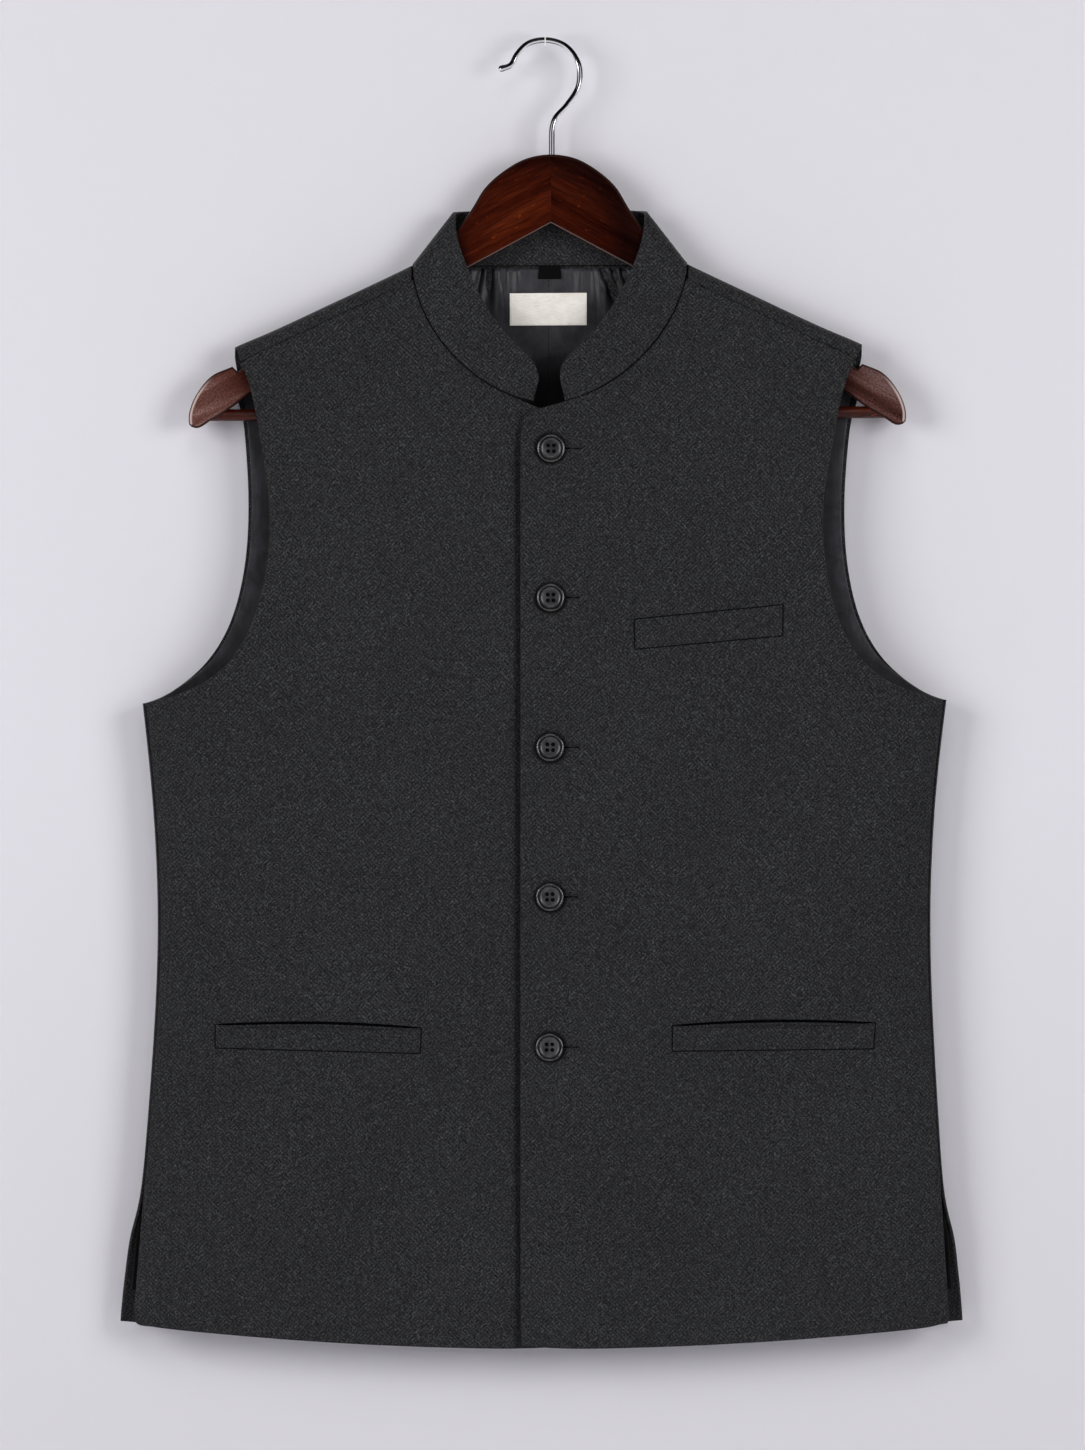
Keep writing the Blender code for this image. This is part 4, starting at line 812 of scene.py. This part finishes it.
# Gives the welt and the pieces round it: its outline, a tube of painted shade, and, where the pocket
# gapes, the cloth's lip, the mouth, a near-black strip of painted shade, and the welt's top fold.
def makePocket(name, pocket):
    plan, tree = weltShape, frontTrees[pocket["side"]]
    topIn, topOut, lowIn, lowOut = (Vector(corner) for corner in pocket["corners"])
    length, height = (topOut - topIn).length, (topIn - lowIn).length

    def weltCorner(u, v):
        high = topIn.lerp(topOut, u)
        high.y -= pocket["sag"] * sin(pi * u)
        return lowIn.lerp(lowOut, u).lerp(high, v)

    def weltProfile(u, v):
        away = min(u * length, (1 - u) * length, v * height, (1 - v) * height)
        return plan["thickness"] * (0.25 + 0.75 * roundedStep(away, plan["round"]))

    def mouthLine(u, rise=0.0):
        line = topIn.lerp(topOut, u)
        line.y += pocket["mouth"] * sin(pi * u) ** 0.8
        return Vector((line.x, line.y + rise))

    def lipCorner(u, v):
        return mouthLine(u, plan["lipHeight"] * v)

    def lipProfile(u, v):
        across = ease(min(u, 1 - u) * length / plan["lipEnd"])
        return 0.00002 + plan["lipOut"] * across * (1 - ease(v)) * roundedStep(v * 0.006, plan["lipRound"])

    def slitCorner(u, v):
        wide = plan["mouthWidth"] * (0.55 + 0.45 * sin(pi * u) ** 0.5)
        line = mouthLine(u)
        return Vector((line.x, line.y - wide * (1 - v) + 0.0003))

    welt = laidStrip(name, tree, weltCorner, 72, 22, weltProfile, plan["lift"], wool)
    border = [weltCorner(u / 60, 0.0) for u in range(61)] + [weltCorner(1.0, v / 8) for v in range(1, 9)]
    if pocket["mouth"]:
        border = [weltCorner(0.0, 1 - v / 8) for v in range(8)] + border
    else:
        border += [weltCorner(1 - u / 60, 1.0) for u in range(1, 61)]
        border += [weltCorner(0.0, 1 - v / 8) for v in range(1, 8)]
    # the outline is a thin tube of painted shade round the welt
    extras = [tubeAlong(
        name + "OutlineShade", [pathOn(tree, border, plan["outlineLift"])], plan["outline"], woolShade,
        closed=not pocket["mouth"])]
    if pocket["mouth"]:
        extras.append(laidStrip(name + "Lip", tree, lipCorner, 60, 12, lipProfile, 0.00001, wool))
        # the mouth is a near-black strip of painted shade below the lip
        extras.append(laidStrip(
            name + "MouthShade", tree, slitCorner, 60, 2, lambda u, v: plan["mouthDepth"], 0.00006, woolSlitShade))
        foldLine = [mouthLine(0.02 + 0.96 * i / 60) - Vector((0.0, plan["foldDrop"])) for i in range(61)]
        foldLift = plan["lift"] + plan["thickness"] + 0.0001
        extras.append(tubeAlong(name + "Fold", [pathOn(tree, foldLine, foldLift)], plan["foldRadius"], wool))
    return welt, extras


welts = {name: makePocket(name, pocket) for name, pocket in pockets.items()}
print("pockets laid")

# ---- buttons, their thread and the buttonholes ----
buttonPlan = {
    "heights": (-0.2517, -0.3441, -0.4368, -0.5295, -0.6225), "xTop": 0.0034, "xBottom": 0.0024,
    "steps": 72, "hole": 0.00122, "holeOffset": 0.00176, "seat": 0.00015, "threadDepth": 0.0003,
    "thread": 0.0008, "rim": 6.55 * mm,
    "outline": (  # radius, height in millimetres
        (0.0, 1.65), (2.0, 1.6), (3.4, 1.7), (5.2, 1.75), (5.8, 1.95), (6.15, 2.25), (6.4, 2.25), (6.6, 1.9),
        (6.7, 1.3), (6.95, 1.3), (7.05, 1.8), (7.15, 2.3), (7.35, 2.7), (7.65, 2.95), (8.0, 3.0), (8.35, 2.8),
        (8.62, 2.4), (8.78, 1.9), (8.75, 1.35), (8.4, 0.8), (7.8, 0.5), (6.0, 0.3), (0.0, 0.2)),
}
buttonholePlan = {
    "start": 0.0075, "end": 0.016, "slit": 0.0007, "slitEnd": 0.0014, "eye": 0.0013, "half": 0.0008,
    "spacing": 0.00055, "stitch": (0.00055, 0.00022, 0.00024),
}
threadHoles = [
    Vector((cos(angle), sin(angle), 0.0)) * buttonPlan["holeOffset"] * sqrt(2)
    for angle in (pi / 4 + pi / 2 * i for i in range(4))]


def makeButton(name, matrix):
    body = bmesh.new()
    rings = []
    steps = buttonPlan["steps"]
    for radius, height in buttonPlan["outline"]:
        count = steps if radius else 1
        rings.append([
            body.verts.new((
                radius * mm * cos(2 * pi * i / steps), radius * mm * sin(2 * pi * i / steps),
                height * mm))
            for i in range(count)])
    for inner, outer in zip(rings, rings[1:]):
        for i in range(steps):
            j = (i + 1) % steps
            if len(inner) == 1:
                body.faces.new((inner[0], outer[i], outer[j]))
            elif len(outer) == 1:
                body.faces.new((inner[i], outer[0], inner[j]))
            else:
                body.faces.new((inner[i], outer[i], outer[j], inner[j]))
    bmesh.ops.recalc_face_normals(body, faces=body.faces)
    piece = pieceFrom(body, name, resin)
    drill = bmesh.new()
    for spot in threadHoles:
        bmesh.ops.create_cone(
            drill, cap_ends=True, segments=20, radius1=buttonPlan["hole"], radius2=buttonPlan["hole"],
            depth=0.02, matrix=Matrix.Translation(spot))
    cutter = pieceFrom(drill, "drill", resin)
    setAll(piece.modifiers.new("holes", "BOOLEAN"), object=cutter, operation="DIFFERENCE", solver="EXACT")
    applied(piece)
    bpy.data.objects.remove(cutter, do_unlink=True)
    mergeDoubles(piece.data, 0.001 * mm)
    piece.data.materials.clear()
    for material in (resin, resinFace):
        piece.data.materials.append(material)
    for face in piece.data.polygons:
        flat = Vector((face.center.x, face.center.y)).length < buttonPlan["rim"]
        face.material_index = 1 if flat and face.center.z > mm else 0
    piece.data.transform(matrix)
    finishSmooth(piece, 40.0)
    return piece


def slitTaper(t):
    return 1.0 - 0.6 * ease(t / 0.6) + 0.35 * ease((t - 0.8) / 0.2)


buttons, threadPaths, holePaths, slitPaths = [], [], [], []
for i, z in enumerate(buttonPlan["heights"]):
    plan, tree = buttonholePlan, frontTrees["left"]
    share = i / (len(buttonPlan["heights"]) - 1)
    x = buttonPlan["xTop"] + (buttonPlan["xBottom"] - buttonPlan["xTop"]) * share
    place, normal = castOn(tree, x, z)
    turn = normal.to_track_quat("Z", "Y").to_matrix().to_4x4()
    matrix = Matrix.Translation(place + normal * buttonPlan["seat"]) @ turn
    buttons.append(makeButton(f"button{i + 1}", matrix))
    for spot in threadHoles:
        threadPaths.append([matrix @ (spot + Vector((0.0, 0.0, h))) for h in (0.0, buttonPlan["threadDepth"])])
    start, end, half = x + plan["start"], x + plan["end"], plan["half"]
    slitPaths.append(pathOn(tree, evenSteps((start, z), (end + plan["slitEnd"], z), 16), -0.0001))
    outline = evenSteps((start, z + half), (end - 0.0003, z + half), 8)
    for a in range(13):
        angle = radians(150 - 300 * a / 12)
        outline.append((end + 0.0012 + plan["eye"] * cos(angle), z + plan["eye"] * sin(angle)))
    outline += evenSteps((end - 0.0003, z - half), (start, z - half), 8)
    holePaths.append(pathOn(tree, outline, 0.0001))
buttonThread = tubeAlong("buttonThread", threadPaths, buttonPlan["thread"], blackThread)
buttonholeStitches = stitchAlong(
    "buttonholeStitches", holePaths, buttonholePlan["spacing"], buttonholePlan["stitch"], greyThread)
# painted shade: each slit is a tapered near-black tube
buttonholeSlits = tubeAlong("buttonholeSlits", slitPaths, buttonholePlan["slit"], woolSlitShade, taper=slitTaper)
print("buttons sewn on")

# ---- labels on the lining ----
labelPlan = {
    "x": 0.0017, "top": -0.1545, "width": 0.0478, "height": 0.02, "lift": 0.00015, "tilt": 0.0003,
    "thickness": 0.00022, "round": 0.00025, "fold": 0.00012, "hem": 0.002, "spacing": 0.0019,
    "stitch": (0.0003, 0.0003, 0.00085),
}
tabPlan = {
    "x": 0.0026, "top": -0.1375, "width": 0.0134, "height": 0.008, "layer": 0.00035, "columns": 14,
    "reach": 12, "wall": 0.00022,
}
seamStitches = {
    "x": 0.0018, "top": -0.147, "step": 0.002, "count": 48, "label": (-0.176, -0.154),
    "spacing": 0.0022, "size": (0.00022, 0.00022, 0.0008),
}


def labelCorner(u, v):
    x = labelPlan["x"] + labelPlan["width"] * (u - 0.5)
    return x, labelPlan["top"] - labelPlan["height"] * (1 - v) + labelPlan["tilt"] * (u - 0.5)


def labelProfile(u, v):
    plan = labelPlan
    away = min(u * plan["width"], (1 - u) * plan["width"], v * plan["height"], (1 - v) * plan["height"])
    fold = plan["fold"] * (1 - ease((away - plan["hem"]) / 0.0004))
    return plan["thickness"] + plan["round"] * roundedStep(away, 0.0005) + fold


neckLabel = laidStrip("neckLabel", liningTree, labelCorner, 64, 28, labelProfile, labelPlan["lift"], labelCloth)
labelEdge = []
for a, b, count in (((0, 0), (1, 0), 24), ((1, 0), (1, 1), 10), ((1, 1), (0, 1), 24), ((0, 1), (0, 0), 10)):
    labelEdge += [labelCorner(u, v) for u, v in evenSteps(a, b, count)[:-1]]
labelStitches = stitchAlong(
    "labelStitches", [pathOn(liningTree, labelEdge, 0.0002)], labelPlan["spacing"], labelPlan["stitch"],
    blackThread, closed=True)


def sewLiningSeam():
    plan = seamStitches
    low, high = plan["label"]
    spots = [(plan["x"], plan["top"] - plan["step"] * i) for i in range(plan["count"])]
    runs = ([spot for spot in spots if spot[1] >= high], [spot for spot in spots if spot[1] <= low])
    return stitchAlong(
        "liningSeam", [pathOn(liningTree, run, 0.00002) for run in runs], plan["spacing"], plan["size"],
        blackThread)


liningSeam = sewLiningSeam()


def makeTab():
    plan = tabPlan
    layer, height, reach, wide = plan["layer"], plan["height"], plan["reach"], plan["columns"] + 1
    section = [(layer * 1.6, -height * i / reach) for i in range(reach + 1)]
    for i in range(1, 7):
        angle = pi * i / 7
        section.append((layer * (0.95 + 0.65 * cos(angle)), -height - layer * 0.65 * sin(angle)))
    section += [(layer * 0.3, -height * (1 - i / reach)) for i in range(reach + 1)]
    points, faces = [], []
    for out, drop in section:
        for c in range(wide):
            across = (c / plan["columns"] - 0.5) * plan["width"] * (1 + 0.08 * -drop / height)
            x, z = plan["x"] + across, plan["top"] + drop
            place, _ = castOn(liningTree, x, min(z, -0.1402))
            points.append(Vector((x, place.y - out - 0.0002, z)))
    for r in range(len(section) - 1):
        for c in range(plan["columns"]):
            faces.append((r * wide + c, (r + 1) * wide + c, (r + 1) * wide + c + 1, r * wide + c + 1))
    mesh = bpy.data.meshes.new("sizeTab")
    mesh.from_pydata(points, [], faces)
    piece = link(mesh, "sizeTab", tapeCloth)
    setAll(piece.modifiers.new("wall", "SOLIDIFY"), thickness=plan["wall"], offset=0.0)
    applied(piece)
    finishSmooth(piece, 60.0)
    return piece


sizeTab = makeTab()
print("labels sewn in")

# ---- seams, sunk between the panels, each with a tube of painted seam shade ----
seamPlan = {
    "radius": 0.00047, "reach": 0.00125, "merge": 0.0022, "jump": 0.012, "depth": 0.0006, "halfWidth": 0.0024}


# Finds the lines where the second panel meets the first, and smooths them.
def seamPaths(first, second):
    tree = treeOf(second)
    spots = []
    for vertex in first.data.vertices:
        near = tree.find_nearest(vertex.co, seamPlan["reach"])[0]
        if near is not None:
            spots.append((vertex.co + near) / 2)
    finder = finderOf(spots)
    merged, used = [], set()
    for i, spot in enumerate(spots):
        if i not in used:
            group = [index for _, index, _ in finder.find_range(spot, seamPlan["merge"]) if index not in used]
            used.update(group)
            merged.append(sum((spots[index] for index in group), Vector()) / len(group))
    paths = []
    while merged:
        middle = sum(merged, Vector()) / len(merged)
        near = max(merged, key=lambda p: (p - middle).length)
        path = []
        while not path or (near - path[-1]).length <= seamPlan["jump"]:
            path.append(near)
            merged.remove(near)
            if not merged:
                break
            near = min(merged, key=lambda p: (p - path[-1]).length)
        if len(path) >= 4:
            for _ in range(3):
                inner = [(a + 2 * b + c) / 4 for a, b, c in zip(path, path[1:], path[2:])]
                path = [path[0]] + inner + [path[-1]]
            paths.append(path)
    return paths


def sinkSeam(panels, paths):
    finder = finderOf([a.lerp(b, t / 3) for path in paths for a, b in zip(path, path[1:]) for t in range(3)])
    for panel in panels:
        normals = [vertex.normal.copy() for vertex in panel.data.vertices]
        for vertex, normal in zip(panel.data.vertices, normals):
            away = finder.find(vertex.co)[2] if normal.y < -0.2 else 1.0
            if away < 3 * seamPlan["halfWidth"]:
                vertex.co -= normal * seamPlan["depth"] * exp(-((away / seamPlan["halfWidth"]) ** 2))
        panel.data.update()


seams = []
for name, first, second in (
    ("leftNeckSeam", standCollar, leftFront),
    ("rightNeckSeam", standCollar, rightFront),
    ("backNeckSeam", standCollar, backPanel),
    ("leftSeams", leftFront, backPanel),
    ("rightSeams", rightFront, backPanel),
):
    paths = seamPaths(first, second)
    print(name, [len(path) for path in paths])
    # each seam gets a thin tube of painted shade
    seams.append(tubeAlong(name, paths, seamPlan["radius"], woolShade))
    sinkSeam((first, second), paths)

# ---- the hanger ----
hookPlan = {
    "radius": 0.0018, "tip": 0.00205, "sides": 20,
    "route": (
        (-0.0273, -0.0154), (-0.0218, -0.0134), (-0.0178, -0.0067), (-0.0111, 0.0), (0.0, 0.0024),
        (0.0118, -0.001), (0.0202, -0.0122), (0.0205, -0.0261), (0.0134, -0.0379), (0.0055, -0.0474),
        (0.0041, -0.053), (0.0039, -0.06), (0.0039, -0.069), (0.0039, -0.089)),
}


def smoothRoute(knots, perSpan):
    knots = np.asarray(knots, float)
    lengths = np.linalg.norm(np.diff(knots, axis=0), axis=1)
    stations = np.concatenate([[0.0], np.cumsum(lengths)])
    slopes = [np.gradient(axis, stations) for axis in knots.T]
    made = []
    for s in np.linspace(0.0, stations[-1], perSpan * len(lengths) + 1):
        i = min(int(np.searchsorted(stations, s, side="right")) - 1, len(stations) - 2)
        step = stations[i + 1] - stations[i]
        t = (s - stations[i]) / step
        rise = t * t * (3 - 2 * t)
        point = []
        for axis, slope in zip(knots.T, slopes):
            value = axis[i] * (1 - rise) + axis[i + 1] * rise
            value += slope[i] * t * (1 - t) ** 2 * step + slope[i + 1] * t * t * (t - 1) * step
            point.append(float(value))
        made.append(point)
    return made


def joinLoops(body, loops):
    for a, b in zip(loops, loops[1:]):
        for i in range(len(a)):
            j = (i + 1) % len(a)
            body.faces.new((a[i], a[j], b[j], b[i]))


def makeHook():
    tip, sides = hookPlan["tip"], hookPlan["sides"]
    route = [Vector((x, 0.0, z)) for x, z in smoothRoute(hookPlan["route"], 9)]
    start = (route[0] - route[1]).normalized()
    line = [(route[0] + start * tip * sin(a), tip * cos(a)) for a in map(radians, (80, 60, 40, 20))]
    for point in route:
        swell = 1 - ease(((point - route[0]).length - 0.0012) / 0.0018)
        line.append((point, hookPlan["radius"] + (tip - hookPlan["radius"]) * swell))
    body = bmesh.new()
    rings = []
    for i, (point, radius) in enumerate(line):
        ahead = (line[min(i + 1, len(line) - 1)][0] - line[max(i - 1, 0)][0]).normalized()
        side = Vector((0.0, 1.0, 0.0))
        up = side.cross(ahead)
        rings.append([
            body.verts.new(point + side * radius * cos(2 * pi * s / sides)
                           + up * radius * sin(2 * pi * s / sides))
            for s in range(sides)])
    joinLoops(body, rings)
    body.faces.new(rings[0])
    body.faces.new(rings[-1])
    piece = pieceFrom(body, "wireHook", chrome, 50.0)
    # painted reflection: the wire's colour follows how far each point's normal faces up
    reflectionPaint = piece.data.attributes.new("paintedReflection", "FLOAT", "POINT")
    for vertex, value in zip(piece.data.vertices, reflectionPaint.data):
        value.value = 0.5 + 0.5 * vertex.normal.z
    return piece


# The runs give reach and height of the arm's outline and meet in corners, from the mitre's top
# round the tip to the foot of the V.
armPlan = {
    "centre": 3.3 * mm, "tipCentre": 1.1 * mm, "shiftReach": 0.2, "tilt": 0.0045, "gap": 0.05 * mm,
    "half": 5.5 * mm, "roundIn": 1.5 * mm, "roundDeep": 2.0 * mm, "rimIn": 2.4 * mm, "steps": 4,
    "spacing": 0.0024, "tipStart": 0.207, "tipLength": 0.013, "tipHighlight": (0.0, 1.0, 0.75), "underHighlight": 0.32,
    "underEnd": 0.12, "edgeShade": 0.85, "edgeShadeLost": 0.7,
    "runs": (
        ((0.0, -0.0689), (0.003, -0.069), (0.015, -0.0713), (0.029, -0.079), (0.0405, -0.0893),
         (0.0484, -0.102), (0.0552, -0.112), (0.069, -0.129), (0.078, -0.1392), (0.086, -0.1425),
         (0.096, -0.1459), (0.12, -0.1569), (0.15, -0.1721), (0.178, -0.189), (0.186, -0.1985),
         (0.1921, -0.203)),
        ((0.1921, -0.203), (0.1955, -0.1997)),
        ((0.1955, -0.1997), (0.2085, -0.2056), (0.2161, -0.2142), (0.2209, -0.2234), (0.2226, -0.2315),
         (0.2219, -0.2362), (0.2185, -0.2376), (0.209, -0.233), (0.1961, -0.225), (0.1859, -0.2174),
         (0.12, -0.1774), (0.051, -0.139)),
        ((0.051, -0.139), (0.0, -0.1116)),
    ),
}


def armOutline():
    made = []
    for run in armPlan["runs"]:
        length = np.linalg.norm(np.diff(np.asarray(run), axis=0), axis=1).sum()
        steps = max(1, round(length / armPlan["spacing"]))
        if len(run) == 2:
            made += evenSteps(*run, steps)[:-1]
        else:
            points = smoothRoute(run, 48)
            made += [points[round(i * (len(points) - 1) / steps)] for i in range(steps)]
    return [Vector(point) for point in (*made, armPlan["runs"][-1][-1])]


def makeArm(name, side):
    plan, outline = armPlan, armOutline()
    count = len(outline)
    inward = []
    for i, point in enumerate(outline):
        before, after = outline[i - 1], outline[(i + 1) % count]
        if point.x == 0.0:
            inward.append(Vector((0.0, -1.0 if i == 0 else 1.0)))
            continue
        first = Vector((-(point.y - before.y), point.x - before.x)).normalized()
        second = Vector((-(after.y - point.y), after.x - point.x)).normalized()
        whole = (first + second).normalized()
        inward.append(-whole / max(whole.dot(first), 0.7))
    rings = [(plan["rimIn"], -plan["half"])]
    for s in range(plan["steps"] + 1):
        angle = pi / 2 * s / plan["steps"]
        deep = -plan["half"] + plan["roundDeep"] * (1 - cos(angle))
        rings.append((plan["roundIn"] * (1 - sin(angle)), deep))
    rings += [(inset, -deep) for inset, deep in reversed(rings)]
    body = bmesh.new()
    paintedHighlight = body.verts.layers.float.new("paintedHighlight")
    paintedEdgeShade = body.verts.layers.float.new("paintedEdgeShade")
    loops = []
    for index, (inset, deep) in enumerate(rings):
        loop = []
        for point, inner in zip(outline, inward):
            spot = point + inner * inset
            shift = (plan["centre"] - plan["tipCentre"]) * (1 - ease(spot.x / plan["shiftReach"]))
            x = plan["tipCentre"] + shift + side * (spot.x + plan["gap"] / 2)
            vertex = body.verts.new((x, deep, spot.y + plan["tilt"] * x))
            # painted highlight along the V's lower edge and the tips' edges, painted shade on the other rounded
            # edges
            under = inner.y > 0.3 and point.x < plan["underEnd"]
            tip = ease((point.x - plan["tipStart"]) / plan["tipLength"]) if inner.y < 0.5 else 0.0
            if index == 3 and under:
                vertex[paintedHighlight] = plan["underHighlight"]
            elif index < 3:
                vertex[paintedHighlight] = plan["tipHighlight"][index] * tip
            if index >= 2 and not under:
                vertex[paintedEdgeShade] = plan["edgeShade"] * (1 - plan["edgeShadeLost"] * tip if index == 2 else 1)
            loop.append(vertex)
        loops.append(loop)
    joinLoops(body, loops)
    for loop in (loops[0], loops[-1]):
        edges = [body.edges.get((loop[i], loop[(i + 1) % count])) for i in range(count)]
        bmesh.ops.triangle_fill(body, use_beauty=True, use_dissolve=False, edges=edges)
    piece = pieceFrom(body, name, mahogany, 40.0)
    print(name, count, "outline points,", len(piece.data.polygons), "faces")
    return piece


def makePin(name, x, z):
    ball = bmesh.new()
    bmesh.ops.create_uvsphere(ball, u_segments=12, v_segments=8, radius=0.0005)
    bmesh.ops.scale(ball, verts=ball.verts, vec=(1.0, 0.5, 1.0))
    bmesh.ops.translate(ball, verts=ball.verts, vec=(x, -armPlan["half"], z))
    piece = pieceFrom(ball, name, chrome)
    piece.data.shade_smooth()
    return piece


wireHook = makeHook()
leftArm = makeArm("leftArm", 1)
rightArm = makeArm("rightArm", -1)
pins = [makePin("armPin1", -0.1905, -0.225), makePin("armPin2", 0.1929, -0.2232)]
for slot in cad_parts["hanger_bar"].material_slots:
    slot.material = mahoganyRod
print("hanger finished")


# ---- what rides and what it replaces ----
def declare(slot, *pieces, node=None):
    for piece in pieces:
        if node:
            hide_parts(node)
        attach(piece, "root")


woolSheets = (
    (leftFront, "front_left", (0.265, 0.664), 0.15, ["back"]),
    (rightFront, "front_right", (0.274, 0.664), 0.155, ["back"]),
    (backPanel, "back", (0.545, 0.69), 0.32, ["hanger_arm_left", "hanger_arm_right"]),
    (standCollar, "collar", (0.4, 0.042), 0.0142, ["back"]),
)
declare("mahogany", leftArm, node="hanger_arm_left")
declare("mahogany", rightArm, node="hanger_arm_right")
declare("chrome_wire", wireHook, node="hanger_hook")
declare("chrome_wire", *pins)
for piece, node, *_ in woolSheets:
    declare("charcoal_wool", piece, node=node)
declare("lining_satin", backLining, node="back_lining")
for name, (welt, extras) in welts.items():
    declare("charcoal_wool", welt, node=pockets[name]["node"])
    declare("charcoal_wool", *extras)
for i, button in enumerate(buttons):
    declare("polished_resin", button, node=f"button_{i + 1}")
declare("charcoal_wool", buttonThread, buttonholeStitches, buttonholeSlits, *seams)
declare("woven_label", neckLabel, node="neck_label")
declare("black_tape", sizeTab, node="size_tab")
declare("black_tape", labelStitches)
declare("lining_satin", liningSeam)

# ---- stage and light ----
stagePlan = {
    "wallY": 0.0186, "floorZ": -1.05, "half": 4.0, "top": 3.0, "wallColour": "#e2e0e6",
    "floorColour": "#cccbcf", "loopRadius": 0.00036,
}


def flatPlane(name, corners, material):
    mesh = bpy.data.meshes.new(name)
    mesh.from_pydata(corners, [], [(0, 1, 2, 3)])
    return link(mesh, name, material)


def makeStage():
    wallY, floorZ, half, top = (stagePlan[key] for key in ("wallY", "floorZ", "half", "top"))
    wall = flatPlane(
        "wall", [(-half, wallY, floorZ), (half, wallY, floorZ), (half, wallY, top), (-half, wallY, top)],
        wallMaterial("paintedWall", stagePlan["wallColour"], oneSided=True))
    wall.visible_shadow = False
    floor = flatPlane(
        "floor", [(-half, -half, floorZ), (half, -half, floorZ), (half, half, floorZ), (-half, half, floorZ)],
        wallMaterial("paleFloor", stagePlan["floorColour"]))
    turns = [2 * pi * i / 24 for i in range(24)]
    hangingLoop = tubeAlong(
        "hangingLoop", [[(-0.0002, 0.0035 * cos(a), 0.0016 + 0.0034 * sin(a)) for a in turns]],
        stagePlan["loopRadius"], wallMaterial("clearNylon", "#f4f4f0"), closed=True)


# place, size and power of each softbox
lights = {
    "leftSoftbox": ((-1.75, -1.75, 0.05), 1.3, 30.0),
    "rightSoftbox": ((1.55, -1.85, -0.05), 1.1, 24.2),
    "topSoftbox": ((0.0, -2.2, 1.5), 1.2, 8.6),
    "leftRear": ((-1.5, 2.2, 0.8), 1.5, 62.0),
    "rightRear": ((1.6, 2.2, 0.6), 1.5, 54.0),
}


def makeLights():
    for name, (place, size, power) in lights.items():
        data = setAll(bpy.data.lights.new(name, "AREA"), shape="SQUARE", size=size, energy=power)
        turn = (Vector((0.0, 0.0, -0.42)) - Vector(place)).to_track_quat("-Z", "Y").to_euler()
        setAll(addObject(name, data), location=place, rotation_euler=turn, visible_camera=False)
    world = bpy.data.worlds.new("studio")
    world.use_nodes = True
    setInputs(world.node_tree.nodes["Background"], {"Color": "#eceef2", "Strength": 0.1})
    bpy.context.scene.world = world


makeStage()
makeLights()
print("stage lit")
